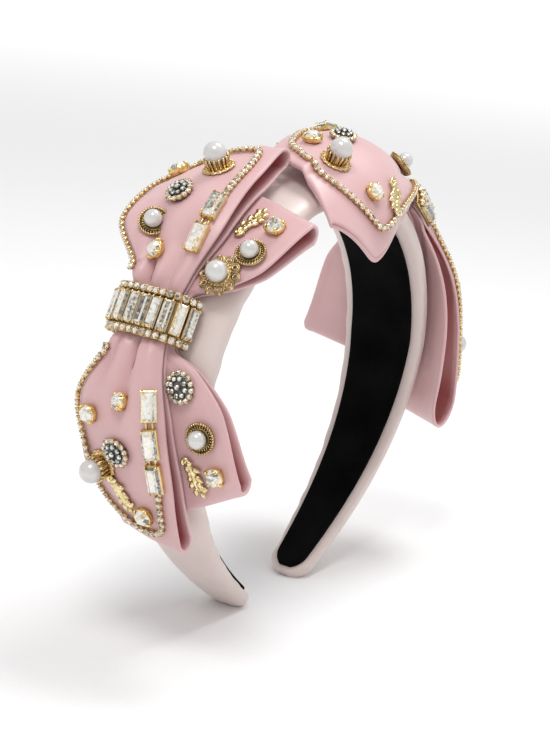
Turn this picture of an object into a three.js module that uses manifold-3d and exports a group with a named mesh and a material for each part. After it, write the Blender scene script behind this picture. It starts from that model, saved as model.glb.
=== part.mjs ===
// Padded satin headband with two layered ribbon bows, set with pearls, crystals and gilt charms.
// Millimetres, +Z up, front at -Y. The origin is the middle of the lining's face at the crown.
// Places on the band are given as (along, across, over): the arc from the crown (left leg negative),
// the distance to the back, and the height over the lining's face.
import * as THREE from "three";
import { mergeVertices } from "three/addons/utils/BufferGeometryUtils.js";
import Module from "manifold-3d";

const { Manifold, Mesh } = await Module().then((kernel) => {
  kernel.setup();
  return kernel;
});

// Hoop: the lining's face line from the crown to a tip, with the bend radius along it
const HALF_LENGTH = 195;
const BEND = [
  { share: 0, radius: 84 },
  { share: 0.5, radius: 52.4 },
  { share: 1, radius: 476 },
];

// Padded band: half width at the lining and padded thickness, from crown to tip
const BAND = [
  { share: 0, half: 17.4, thick: 8, velvet: 12 },
  { share: 0.5, half: 15, thick: 7.8, velvet: 12.3 },
  { share: 1, half: 6.6, thick: 6, velvet: 5.4 },
];
const BAND_STEPS = 31;
const BAND_SIDES = 12;
const PAD_BULGE = 1;
const TIP_ROUND = 7;
const TIP_OVERRUN = 1.6;
const LINING_THICK = 0.9;
const PIECE_GAP = 0.3;
const REST_FLAT = 0.9;

// Ribbon: cloth wall, and how finely a loop is drawn along, around its end and across
const CLOTH = 1;
const LOOP_STEPS = 7;
const FOLD_STEPS = 3;
const CROSS_STEPS = 6;
const LOOP_ROOT = 0.5;
const PLY_PITCH = 1.5;
const PAD_BED = 10.3;
const UNDER_BED = 2.8;

// Bows: where each is tied on the band, and which side its top layer spreads to
const BOWS = {
  left: { along: -77, across: 6 },
  right: { along: 48, across: -6 },
};

// Loops: way along the band, side that the loop spreads to, length of its straight and spread edges.
// Stations run from the knot to the end: place of the straight edge, width of the cloth from it,
// tilt of the cloth at the straight and at the spread edge, and the loop's opening at both.
const LOOPS = {
  left_top_upper: {
    bow: "left", top: true, way: 1, side: 1, straight: 57, spread: 53,
    stations: [
      { at: 0, across: -1.5, over: 14.6, wide: 15, tilt0: 0, tilt1: 8, open0: 1.5, open1: 1.5 },
      { at: 0.2, across: -4, over: 16.2, wide: 22, tilt0: -4, tilt1: 15, open0: 2, open1: 2 },
      { at: 0.45, across: -7.5, over: 19.4, wide: 41, tilt0: -5, tilt1: 26, open0: 4, open1: 4 },
      { at: 0.75, across: -7, over: 21, wide: 44, tilt0: -5, tilt1: 38, open0: 6, open1: 6 },
      { at: 1, across: -4, over: 21, wide: 38, tilt0: 0, tilt1: 46, open0: 7, open1: 6 },
    ],
  },
  left_top_lower: {
    bow: "left", top: true, way: -1, side: 1, straight: 55, spread: 53,
    stations: [
      { at: 0, across: -1.5, over: 14.6, wide: 16, tilt0: 0, tilt1: 8, open0: 1.5, open1: 1.5 },
      { at: 0.2, across: -4.5, over: 16, wide: 22, tilt0: -4, tilt1: 12, open0: 2, open1: 2 },
      { at: 0.45, across: -10.5, over: 18.2, wide: 36.5, tilt0: -6, tilt1: 22, open0: 3.5, open1: 5 },
      { at: 0.75, across: -14.5, over: 19.5, wide: 40.5, tilt0: -6, tilt1: 28, open0: 5, open1: 7 },
      { at: 1, across: -15, over: 20.5, wide: 34, tilt0: 0, tilt1: 30, open0: 6, open1: 8 },
    ],
  },
  left_under_upper: {
    bow: "left", way: 1, side: -1, straight: 45, spread: 34, columns: 5,
    stations: [
      { at: 0, across: 12.5, over: 11.8, wide: 16.5, tilt0: -2, tilt1: 4, open0: 1.5, open1: 1.5 },
      { at: 0.2, across: 12, over: 12, wide: 16.5, tilt0: -3, tilt1: 4, open0: 1.6, open1: 2 },
      { at: 0.32, across: 9, over: 12.1, wide: 23, tilt0: -4, tilt1: 4, open0: 1.6, open1: 2.5 },
      { at: 0.55, across: 5, over: 12.3, wide: 29, tilt0: -5, tilt1: 4, open0: 1.7, open1: 4 },
      { at: 1, across: 4, over: 12.6, wide: 34, tilt0: -4, tilt1: 2, open0: 2.4, open1: 6 },
    ],
  },
  left_under_lower: {
    bow: "left", way: -1, side: -1, straight: 54, spread: 36, columns: 5,
    stations: [
      { at: 0, across: 12.5, over: 11.8, wide: 16.5, tilt0: -2, tilt1: 4, open0: 1.5, open1: 1.5 },
      { at: 0.17, across: 12, over: 12, wide: 16.5, tilt0: -3, tilt1: 4, open0: 1.6, open1: 2 },
      { at: 0.28, across: 9, over: 12.1, wide: 23, tilt0: -4, tilt1: 4, open0: 1.6, open1: 2.5 },
      { at: 0.55, across: 4, over: 12.2, wide: 30.5, tilt0: -4, tilt1: 4, open0: 1.7, open1: 4 },
      { at: 1, across: 1, over: 12.4, wide: 35, tilt0: -4, tilt1: 4, open0: 2.4, open1: 6 },
    ],
  },
  right_top_upper: {
    bow: "right", top: true, way: -1, side: -1, straight: 56, spread: 74, columns: 9,
    stations: [
      { at: 0, across: 1.5, over: 14.6, wide: 15, tilt0: 0, tilt1: 10, open0: 1.5, open1: 1.5 },
      { at: 0.12, across: 2, over: 15, wide: 18, tilt0: -2, tilt1: 18, open0: 1.6, open1: 1.6 },
      { at: 0.22, across: 7.5, over: 18.5, wide: 34, tilt0: -18, tilt1: 58, open0: 2, open1: 1.6 },
      { at: 0.45, across: 13, over: 20, wide: 54, tilt0: -22, tilt1: 80, open0: 4, open1: 1.6 },
      { at: 0.72, across: 13, over: 18.5, wide: 63, tilt0: -18, tilt1: 88, open0: 4, open1: 1.8 },
      { at: 1, across: 9, over: 15.8, wide: 39, tilt0: -12, tilt1: 52, open0: 4.5, open1: 3 },
    ],
  },
  right_top_lower: {
    bow: "right", top: true, way: 1, side: -1, straight: 64, spread: 67,
    stations: [
      { at: 0, across: 1.5, over: 14.6, wide: 15, tilt0: 0, tilt1: 8, open0: 1.5, open1: 1.5 },
      { at: 0.2, across: 3, over: 16.4, wide: 20, tilt0: 0, tilt1: 12, open0: 2, open1: 3 },
      { at: 0.5, across: 4, over: 21.5, wide: 29, tilt0: 0, tilt1: 30, open0: 5, open1: 8 },
      { at: 0.75, across: 4, over: 24.5, wide: 31, tilt0: 0, tilt1: 34, open0: 8, open1: 12 },
      { at: 1, across: 4, over: 31, wide: 30, tilt0: 0, tilt1: 32, open0: 13, open1: 17 },
    ],
  },
  right_under_upper: {
    bow: "right", way: -1, side: 1, straight: 43, spread: 34, columns: 5,
    stations: [
      { at: 0, across: -12.5, over: 11.8, wide: 16.5, tilt0: -2, tilt1: 4, open0: 1.5, open1: 1.5 },
      { at: 0.2, across: -12.4, over: 12, wide: 16.4, tilt0: -3, tilt1: 4, open0: 1.6, open1: 2 },
      { at: 0.32, across: -9, over: 12.1, wide: 23, tilt0: -4, tilt1: 4, open0: 1.6, open1: 2.5 },
      { at: 0.55, across: -7, over: 12.3, wide: 29, tilt0: -5, tilt1: 4, open0: 1.7, open1: 4 },
      { at: 1, across: -6, over: 12.6, wide: 35, tilt0: -4, tilt1: 2, open0: 2.4, open1: 6 },
    ],
  },
  right_under_lower: {
    bow: "right", way: 1, side: 1, straight: 60, spread: 52, columns: 5,
    stations: [
      { at: 0, across: -12.5, over: 11.8, wide: 16.5, tilt0: -2, tilt1: 4, open0: 1.5, open1: 1.5 },
      { at: 0.16, across: -12, over: 12, wide: 16.5, tilt0: -3, tilt1: 4, open0: 1.6, open1: 2 },
      { at: 0.28, across: -9, over: 12.1, wide: 24, tilt0: -4, tilt1: 4, open0: 1.6, open1: 2.5 },
      { at: 0.55, across: -6, over: 12.2, wide: 34, tilt0: -4, tilt1: 4, open0: 1.7, open1: 4 },
      { at: 1, across: -3, over: 12.4, wide: 39, tilt0: -4, tilt1: 4, open0: 2.4, open1: 6 },
    ],
  },
};

// Knot: an arched strip over each tie, with upright stones between two raised rails
const KNOT = { half: 12.6, along: 15.6, crown: 17.2, foot: 8.4, base: 1.1, rail: 1.4, railWide: 2.3 };
const KNOT_STEPS = 10;
const KNOT_STONES = 7;
const KNOT_STONE = { wide: 3, long: 10, high: 2.6, bevel: 0.7 };

// Cup chain sewn along the edges of each top loop, as (t, q) places from the knot round to the stones
const CHAIN_RADIUS = 1.15;
const CHAIN_SIDES = 8;
const CHAIN_STEP = 6;
const CHAINS = {
  left_top_upper: [
    [0.17, 0.84], [0.3, 0.9], [0.44, 0.92], [0.62, 0.9], [0.8, 0.9], [0.92, 0.84],
    [0.955, 0.62], [0.96, 0.3], [0.93, 0.15], [0.8, 0.11], [0.57, 0.11],
  ],
  left_top_lower: [
    [0.18, 0.84], [0.28, 0.88], [0.4, 0.9], [0.55, 0.86], [0.75, 0.83], [0.9, 0.78],
    [0.955, 0.6], [0.965, 0.3], [0.92, 0.14], [0.75, 0.11],
  ],
  right_top_upper: [
    [0.18, 0.84], [0.35, 0.88], [0.54, 0.88], [0.7, 0.87], [0.78, 0.82], [0.88, 0.74],
    [0.955, 0.6], [0.96, 0.35], [0.93, 0.17], [0.8, 0.1], [0.6, 0.1],
  ],
  right_top_lower: [
    [0.18, 0.86], [0.28, 0.93], [0.45, 0.94], [0.7, 0.94], [0.9, 0.93], [0.955, 0.8],
    [0.96, 0.35], [0.92, 0.15], [0.76, 0.11],
  ],
};

// Upright stones in line with the chain's end, by their t on the loop
const ROW_STONE = { wide: 4.4, long: 8.2, high: 3, bevel: 0.9 };
const STONE_ROWS = {
  left_top_upper: { q: 0.13, at: [0.49, 0.345] },
  left_top_lower: { q: 0.12, at: [0.66, 0.515, 0.37] },
  right_top_upper: { q: 0.1, at: [0.5, 0.35] },
  right_top_lower: { q: 0.12, at: [0.66, 0.515, 0.37] },
};

// Charms sewn to the loops: place, turn in the cloth's plane
const CHARMS = [
  { loop: "left_top_upper", kind: "crystal", t: 0.82, q: 0.76, turn: 0 },
  { loop: "left_top_upper", kind: "crown_pearl", t: 0.76, q: 0.34, turn: 0 },
  { loop: "left_top_upper", kind: "pave", t: 0.56, q: 0.47, turn: 30 },
  { loop: "left_top_upper", kind: "rim_pearl", t: 0.4, q: 0.62, turn: 0 },
  { loop: "left_top_upper", kind: "crystal", t: 0.27, q: 0.52, turn: 0 },
  { loop: "left_under_upper", kind: "leaf", t: 0.78, q: 0.5, turn: 10 },
  { loop: "left_under_upper", kind: "crystal", t: 0.84, q: 0.75, turn: 0 },
  { loop: "left_under_upper", kind: "rim_pearl", t: 0.58, q: 0.77, turn: 0 },
  { loop: "left_under_upper", kind: "flower", t: 0.37, q: 0.79, turn: 0 },
  { loop: "left_top_lower", kind: "crystal", t: 0.39, q: 0.42, turn: 0 },
  { loop: "left_top_lower", kind: "crystal", t: 0.47, q: 0.72, turn: 0 },
  { loop: "left_top_lower", kind: "pave", t: 0.6, q: 0.46, turn: 80 },
  { loop: "left_top_lower", kind: "crown_pearl", t: 0.71, q: 0.66, turn: 0 },
  { loop: "left_top_lower", kind: "leaf", t: 0.81, q: 0.5, turn: 50 },
  { loop: "left_top_lower", kind: "crystal", t: 0.87, q: 0.28, turn: 0 },
  { loop: "left_under_lower", kind: "pave", t: 0.36, q: 0.71, turn: 0 },
  { loop: "left_under_lower", kind: "rim_pearl", t: 0.63, q: 0.75, turn: 0 },
  { loop: "left_under_lower", kind: "leaf", t: 0.84, q: 0.6, turn: 40 },
  { loop: "left_under_lower", kind: "crystal", t: 0.88, q: 0.82, turn: 0 },
  { loop: "right_top_upper", kind: "crown_pearl", t: 0.84, q: 0.46, turn: 0 },
  { loop: "right_top_upper", kind: "crystal", t: 0.82, q: 0.23, turn: 0 },
  { loop: "right_top_upper", kind: "pave", t: 0.64, q: 0.3, turn: 20 },
  { loop: "right_top_upper", kind: "rim_pearl", t: 0.22, q: 0.56, turn: 0 },
  { loop: "right_top_upper", kind: "crystal", t: 0.73, q: 0.68, turn: 0 },
  { loop: "right_top_upper", kind: "leaf", t: 0.58, q: 0.77, turn: 60 },
  { loop: "right_top_lower", kind: "crystal", t: 0.39, q: 0.42, turn: 0 },
  { loop: "right_top_lower", kind: "crystal", t: 0.53, q: 0.78, turn: 0 },
  { loop: "right_top_lower", kind: "pave", t: 0.6, q: 0.4, turn: 80 },
  { loop: "right_top_lower", kind: "crown_pearl", t: 0.8, q: 0.71, turn: 0 },
  { loop: "right_top_lower", kind: "leaf", t: 0.82, q: 0.32, turn: 50 },
  { loop: "right_under_upper", kind: "rim_pearl", t: 0.84, q: 0.8, turn: 0 },
  { loop: "right_under_upper", kind: "crystal", t: 0.6, q: 0.86, turn: 0 },
  { loop: "right_under_lower", kind: "pave", t: 0.38, q: 0.72, turn: 0 },
  { loop: "right_under_lower", kind: "rim_pearl", t: 0.63, q: 0.75, turn: 0 },
  { loop: "right_under_lower", kind: "leaf", t: 0.84, q: 0.48, turn: 60 },
  { loop: "right_under_lower", kind: "crystal", t: 0.88, q: 0.82, turn: 0 },
];
const CHARM_LIFT = 0.7;

// Turned outlines of the charms, radius and height from the cloth
const OUTLINES = {
  crystal: [[0, 0], [2.6, 0], [3.1, 1.5], [2.9, 2], [1.6, 3.2], [0, 3.2]],
  rim_pearl: [
    [0, 0], [4.3, 0], [4.9, 0.8], [4.6, 1.8], [3.3, 2], [3.2, 3.2], [2.6, 4.7], [1.3, 5.7], [0, 6],
  ],
  crown_pearl: [
    [0, 0], [5.4, 0], [5.4, 0.8], [3.3, 1.1], [3.9, 3.4],
    [3.6, 4.4], [3.5, 5.6], [2.7, 7.2], [1.3, 8.2], [0, 8.5],
  ],
  pave: [[0, 0], [4.6, 0], [5.2, 0.9], [4.5, 2], [2.6, 2.9], [0, 3.2]],
  flower: [[0, 0.2], [3.9, 0.2], [4.2, 2.4], [3.5, 2.6], [3.4, 3.8], [2.6, 5.2], [1.3, 6.1], [0, 6.3]],
};
const CHARM_SIDES = { crystal: 8, rim_pearl: 10, crown_pearl: 10, pave: 12, flower: 10 };
const PAVE_OVAL = 0.84;
const FLOWER = { petals: 8, radius: 5.9, swell: 1, plate: 1.3, holeRing: 5.1, holeRadius: 0.75 };
const LEAF = { long: 11, half: 2.3, lobes: 4, bow: 1.6, plate: 1.3 };

// Hoop

const HOOP_STEP = 0.5;
const CROWN_FACE = (HALF_LENGTH + TIP_OVERRUN - 0.65 * TIP_ROUND - 3) / BAND_STEPS;
const hoopLine = [{ x: 0, z: CROWN_FACE ** 2 / (2 * BEND[0].radius), turn: 0 }];
for (let s = HOOP_STEP; s <= HALF_LENGTH + TIP_OVERRUN + HOOP_STEP; s += HOOP_STEP) {
  const last = hoopLine[hoopLine.length - 1];
  const turn = last.turn + HOOP_STEP * bendAt((s - HOOP_STEP / 2) / HALF_LENGTH);
  const middle = (last.turn + turn) / 2;
  const x = last.x + HOOP_STEP * Math.cos(middle);
  const z = last.z - HOOP_STEP * Math.sin(middle);
  hoopLine.push({ x, z, turn });
}

function bendAt(share) {
  const next = Math.max(1, BEND.findIndex((row) => row.share >= Math.min(share, 1)));
  const [a, b] = [BEND[next - 1], BEND[next]];
  const f = (Math.min(share, 1) - a.share) / (b.share - a.share);
  return (1 - f) / a.radius + f / b.radius;
}

function onBand(along, across, over) {
  const place = Math.abs(along) / HOOP_STEP;
  const i = Math.min(Math.floor(place), hoopLine.length - 2);
  const f = place - i;
  const mix = (key) => hoopLine[i][key] * (1 - f) + hoopLine[i + 1][key] * f;
  const turn = mix("turn");
  const x = mix("x") + over * Math.sin(turn);
  return new THREE.Vector3(along < 0 ? -x : x, across, mix("z") + over * Math.cos(turn));
}

function bandSize(along, key) {
  const share = Math.min(Math.abs(along) / HALF_LENGTH, 1);
  const next = Math.max(1, BAND.findIndex((row) => row.share >= share));
  const [a, b] = [BAND[next - 1], BAND[next]];
  const f = (share - a.share) / (b.share - a.share);
  return a[key] * (1 - f) + b[key] * f;
}

// Smooth value of one column of a loop's stations, without overshoot between them
function station(loop, key, t) {
  const rows = loop.stations;
  const n = rows.length;
  const slope = (i) => (rows[i + 1][key] - rows[i][key]) / (rows[i + 1].at - rows[i].at);
  const lean = (i) => {
    if (i === 0) return slope(0);
    if (i === n - 1) return slope(n - 2);
    const [a, b] = [slope(i - 1), slope(i)];
    return a * b <= 0 ? 0 : (2 * a * b) / (a + b);
  };
  const i = Math.min(n - 2, Math.max(0, rows.findIndex((row) => row.at > t) - 1 + (t >= 1 ? n : 0)));
  const w = rows[i + 1].at - rows[i].at;
  const x = (t - rows[i].at) / w;
  const ends = (2 * x ** 3 - 3 * x ** 2 + 1) * rows[i][key] + (3 * x ** 2 - 2 * x ** 3) * rows[i + 1][key];
  return ends + w * ((x ** 3 - 2 * x ** 2 + x) * lean(i) + (x ** 3 - x ** 2) * lean(i + 1));
}

// Place on a loop: t from knot to end, q from straight to spread edge, drop 0 outer and 1 inner ply
function onLoop(loop, t, q, drop = 0, past = 0) {
  const length = loop.straight * (1 - q) + loop.spread * q;
  const along = BOWS[loop.bow].along + loop.way * (LOOP_ROOT + t * (length - LOOP_ROOT) + past);
  const wide = station(loop, "wide", t);
  const start = THREE.MathUtils.degToRad(station(loop, "tilt0", t));
  const turn = THREE.MathUtils.degToRad(station(loop, "tilt1", t)) - start;
  const out = (wide * (Math.sin(start + turn * q) - Math.sin(start))) / turn;
  const fall = (wide * (Math.cos(start) - Math.cos(start + turn * q))) / turn;
  const across = station(loop, "across", t) + loop.side * out;
  const bed = bedUnder(loop, t, across);
  const outer = Math.max(station(loop, "over", t) - fall, bed + PLY_PITCH);
  const inner = Math.max(outer - loopOpening(loop, t, q), bed);
  return onBand(along, across, outer + drop * (inner - outer));
}

// Lowest that a ply lies: on the padding, and for a top loop also on the under loop beside it
function bedUnder(loop, t, across) {
  const pad = PAD_BED - 0.006 * Math.max(0, Math.abs(across) - 11) ** 3.3;
  if (!loop.top) return pad;
  const edge = 14.6 - 5 * Math.min(1, t / 0.6);
  const lap = 1 - THREE.MathUtils.smoothstep(across * loop.side, edge, edge + 5);
  return pad + lap * (UNDER_BED + 1.4 * Math.min(1, t / 0.3));
}

function loopOpening(loop, t, q) {
  return station(loop, "open0", t) * (1 - q) + station(loop, "open1", t) * q;
}

// Frame on a loop's outer ply, with z off the cloth and x from the knot to the loop's end
function onCloth(loop, t, q, lift, turn = 0) {
  const step = 0.01;
  const down = new THREE.Vector3().subVectors(onLoop(loop, t + step, q), onLoop(loop, t - step, q));
  const side = new THREE.Vector3().subVectors(onLoop(loop, t, q + step), onLoop(loop, t, q - step));
  const z = new THREE.Vector3().crossVectors(down, side).normalize();
  if (z.dot(new THREE.Vector3().subVectors(onLoop(loop, t, q), onLoop(loop, t, q, 1))) < 0) z.negate();
  const x = down.addScaledVector(z, -down.dot(z)).normalize();
  const y = new THREE.Vector3().crossVectors(z, x);
  const place = onLoop(loop, t, q).addScaledVector(z, CLOTH / 2 + lift);
  const frame = new THREE.Matrix4().makeBasis(x, y, z).setPosition(place);
  return frame.multiply(new THREE.Matrix4().makeRotationZ(THREE.MathUtils.degToRad(turn)));
}

// Solids

function solidOf(points, faces) {
  const shape = new THREE.BufferGeometry();
  shape.setAttribute("position", new THREE.Float32BufferAttribute(points.flatMap((p) => p.toArray()), 3));
  shape.setIndex(faces.flat());
  return shape;
}

// Closed skin over a row of rings of equal count, with a fan over each end
function loft(rings) {
  const n = rings[0].length;
  const points = rings.flat();
  const faces = [];
  for (let i = 0; i + 1 < rings.length; i += 1) {
    for (let k = 0; k < n; k += 1) {
      const [a, b] = [i * n + k, i * n + ((k + 1) % n)];
      faces.push([a, b, b + n], [a, b + n, a + n]);
    }
  }
  for (const [ring, flip] of [[0, true], [rings.length - 1, false]]) {
    const middle = new THREE.Vector3();
    rings[ring].forEach((p) => middle.addScaledVector(p, 1 / n));
    points.push(middle);
    for (let k = 0; k < n; k += 1) {
      const [a, b] = [ring * n + k, ring * n + ((k + 1) % n)];
      faces.push(flip ? [b, a, points.length - 1] : [a, b, points.length - 1]);
    }
  }
  return solidOf(points, faces);
}

// Cloth of even wall from a sheet of points, rows along and columns across
function thicken(sheet, wall) {
  const [rows, columns] = [sheet.length, sheet[0].length];
  const at = (i, k) => sheet[Math.min(rows - 1, Math.max(0, i))][Math.min(columns - 1, Math.max(0, k))];
  const points = [];
  for (const face of [0.5, -0.5]) {
    for (let i = 0; i < rows; i += 1) {
      for (let k = 0; k < columns; k += 1) {
        const down = new THREE.Vector3().subVectors(at(i + 1, k), at(i - 1, k));
        const side = new THREE.Vector3().subVectors(at(i, k + 1), at(i, k - 1));
        const off = down.cross(side).normalize();
        points.push(at(i, k).clone().addScaledVector(off, face * wall));
      }
    }
  }
  const index = (face, i, k) => (face * rows + i) * columns + k;
  const faces = [];
  const wallOf = (a, b, c, d) => faces.push([a, b, c], [a, c, d]);
  for (let i = 0; i + 1 < rows; i += 1) {
    for (let k = 0; k + 1 < columns; k += 1) {
      wallOf(index(0, i, k), index(0, i + 1, k), index(0, i + 1, k + 1), index(0, i, k + 1));
      wallOf(index(1, i, k), index(1, i, k + 1), index(1, i + 1, k + 1), index(1, i + 1, k));
    }
    wallOf(index(0, i, 0), index(1, i, 0), index(1, i + 1, 0), index(0, i + 1, 0));
    const last = columns - 1;
    wallOf(index(0, i, last), index(0, i + 1, last), index(1, i + 1, last), index(1, i, last));
  }
  for (let k = 0; k + 1 < columns; k += 1) {
    wallOf(index(0, 0, k), index(0, 0, k + 1), index(1, 0, k + 1), index(1, 0, k));
    const last = rows - 1;
    wallOf(index(0, last, k), index(1, last, k), index(1, last, k + 1), index(0, last, k + 1));
  }
  return solidOf(points, faces);
}

function toManifold(shape) {
  const bare = new THREE.BufferGeometry();
  const loose = shape.index ? shape.toNonIndexed() : shape;
  bare.setAttribute("position", loose.getAttribute("position").clone());
  const joined = mergeVertices(bare, 1e-4);
  const mesh = new Mesh({
    numProp: 3,
    vertProperties: new Float32Array(joined.getAttribute("position").array),
    triVerts: new Uint32Array(joined.index.array),
  });
  const solid = new Manifold(mesh);
  return solid.volume() < 0 ? new Manifold(flipped(mesh)) : solid;
}

function flipped(mesh) {
  const triVerts = mesh.triVerts.slice().reverse();
  return new Mesh({ numProp: 3, vertProperties: mesh.vertProperties, triVerts });
}

function fromManifold(solid) {
  const mesh = solid.getMesh();
  const shape = new THREE.BufferGeometry();
  shape.setAttribute("position", new THREE.Float32BufferAttribute(mesh.vertProperties, 3));
  shape.setIndex([...mesh.triVerts]);
  return shape;
}

function join(shapes) {
  return fromManifold(Manifold.union(shapes.map(toManifold)));
}

// Turned piece about z from its outline, radius and height from the bottom middle to the top middle
function turned(outline, sides, stretch = 1) {
  const shape = new THREE.LatheGeometry(outline.map(([r, z]) => new THREE.Vector2(r, z)), sides);
  shape.rotateX(Math.PI / 2);
  return shape.scale(1, stretch, 1);
}

// Band and lining

function padSection(along) {
  const end = Math.max(0, Math.abs(along) - (HALF_LENGTH + TIP_OVERRUN - TIP_ROUND)) / TIP_ROUND;
  const close = Math.sqrt(Math.max(0.06, 1 - end ** 2));
  const half = (bandSize(along, "half") + PAD_BULGE) * close;
  const thick = bandSize(along, "thick") * (0.55 + 0.45 * close);
  const low = LINING_THICK + PIECE_GAP;
  const ring = [];
  for (let k = 0; k < BAND_SIDES; k += 1) {
    const turn = (2 * Math.PI * (k + 0.5)) / BAND_SIDES;
    const [c, s] = [Math.cos(turn), Math.sin(turn)];
    const across = half * Math.sign(c) * Math.abs(c) ** (2 / 3);
    const rise = s > 0 ? 0.58 * s ** (2 / 2.6) : -0.42 * Math.abs(s) ** (2 / 5);
    ring.push(onBand(along, across, low + thick * (0.42 + rise)));
  }
  return ring;
}

// Stops along the band, closer together where the tips round off
function bandStops() {
  const reach = HALF_LENGTH + TIP_OVERRUN;
  const ends = [0.35, 0.7, 0.9, 1].map((f) => reach - TIP_ROUND * (1 - f));
  const stops = [];
  for (let i = 0; i <= BAND_STEPS; i += 1) stops.push((ends[0] - 3) * ((2 * i) / BAND_STEPS - 1));
  return [...ends.map((s) => -s).reverse(), ...stops, ...ends];
}

function paddedBand() {
  const body = toManifold(loft(bandStops().map(padSection)));
  const floor = body.boundingBox().min[2] + REST_FLAT;
  return fromManifold(body.trimByPlane([0, 0, 1], floor));
}

function velvetLining() {
  const rings = [];
  for (const along of bandStops().slice(1, -1)) {
    const end = Math.max(0, Math.abs(along) - (HALF_LENGTH - TIP_ROUND)) / TIP_ROUND;
    const half = bandSize(along, "velvet") * Math.sqrt(Math.max(0.1, 1 - end ** 2));
    rings.push([
      onBand(along, -half, 0),
      onBand(along, half, 0),
      onBand(along, half, LINING_THICK),
      onBand(along, -half, LINING_THICK),
    ]);
  }
  return loft(rings);
}

// Bows

function ribbonLoop(loop) {
  const sheet = [];
  const columns = loop.columns ?? CROSS_STEPS;
  const rowAt = (place) => {
    const row = [];
    for (let k = 0; k <= columns; k += 1) row.push(place(k / columns));
    sheet.push(row);
  };
  for (let i = 0; i <= LOOP_STEPS; i += 1) rowAt((q) => onLoop(loop, i / LOOP_STEPS, q));
  for (let i = 1; i <= FOLD_STEPS; i += 1) {
    const turn = (Math.PI * i) / (FOLD_STEPS + 1);
    const drop = (1 - Math.cos(turn)) / 2;
    rowAt((q) => onLoop(loop, 1, q, drop, (Math.sin(turn) * loopOpening(loop, 1, q)) / 2));
  }
  for (let i = LOOP_STEPS; i >= 0; i -= 1) rowAt((q) => onLoop(loop, i / LOOP_STEPS, q, 1));
  return thicken(sheet, CLOTH);
}

// Strip of the knot in its arch, and the stones standing across it
function knotArch(bow, f, lift) {
  const { along, across } = BOWS[bow];
  const rise = KNOT.crown - KNOT.foot;
  const heightAt = (g) => KNOT.foot + rise * Math.sqrt(Math.max(0, 1 - Math.abs(g) ** 4));
  const inner = (g) => onBand(along, across + KNOT.half * g, heightAt(g));
  const lean = new THREE.Vector3().subVectors(inner(f + 0.01), inner(f - 0.01)).normalize();
  const ahead = new THREE.Vector3().subVectors(onBand(along + 0.1, 0, 20), onBand(along - 0.1, 0, 20));
  ahead.normalize();
  const off = new THREE.Vector3().crossVectors(ahead, lean).normalize();
  const place = inner(f).addScaledVector(off, lift);
  return { place, ahead, lean, off };
}

function knotBand(bow) {
  const half = KNOT.along / 2;
  const shelf = half - KNOT.railWide;
  const top = KNOT.base + KNOT.rail;
  const section = [
    [-half, 0], [half, 0], [half, top], [shelf, top], [shelf, KNOT.base],
    [-shelf, KNOT.base], [-shelf, top], [-half, top],
  ];
  const rings = [];
  for (let i = 0; i <= KNOT_STEPS; i += 1) {
    const f = Math.sin((Math.PI / 2) * ((2 * i) / KNOT_STEPS - 1)) * 0.985;
    rings.push(section.map(([a, lift]) => {
      const { place, ahead } = knotArch(bow, f, lift);
      return place.addScaledVector(ahead, a);
    }));
  }
  const parts = [loft(rings)];
  for (let i = 0; i < KNOT_STONES; i += 1) {
    const f = ((2 * (i + 0.5)) / KNOT_STONES - 1) * 0.93;
    const { place, ahead, lean, off } = knotArch(bow, f, KNOT.base - 0.4);
    const frame = new THREE.Matrix4().makeBasis(ahead, lean, off).setPosition(place);
    parts.push(cutStone(KNOT_STONE).applyMatrix4(frame));
  }
  return join(parts);
}

// Long stone with a table and bevelled sides, long axis along x
function cutStone({ wide, long, high, bevel }) {
  const ringAt = (inset, z) => {
    const [x, y] = [long / 2 - inset, wide / 2 - inset];
    return [[-x, -y], [x, -y], [x, y], [-x, y]].map(([a, b]) => new THREE.Vector3(a, b, z));
  };
  return loft([ringAt(0, 0), ringAt(0, high - bevel), ringAt(bevel, high)]);
}

function stoneRow(loop, row) {
  const frames = row.at.map((t) => onCloth(loop, t, row.q, CHARM_LIFT));
  const parts = frames.map((frame) => cutStone(ROW_STONE).applyMatrix4(frame));
  for (let i = 0; i + 1 < frames.length; i += 1) {
    const [a, b] = frames.slice(i, i + 2).map((frame) => new THREE.Vector3(0, 0, 1).applyMatrix4(frame));
    const link = new THREE.BoxGeometry(a.distanceTo(b), 1.6, 0.9);
    const x = new THREE.Vector3().subVectors(b, a).normalize();
    const y = new THREE.Vector3().setFromMatrixColumn(frames[i], 1);
    const z = new THREE.Vector3().crossVectors(x, y).normalize();
    y.crossVectors(z, x);
    link.applyMatrix4(new THREE.Matrix4().makeBasis(x, y, z).setPosition(a.add(b).multiplyScalar(0.5)));
    parts.push(link);
  }
  return join(parts);
}

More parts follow.
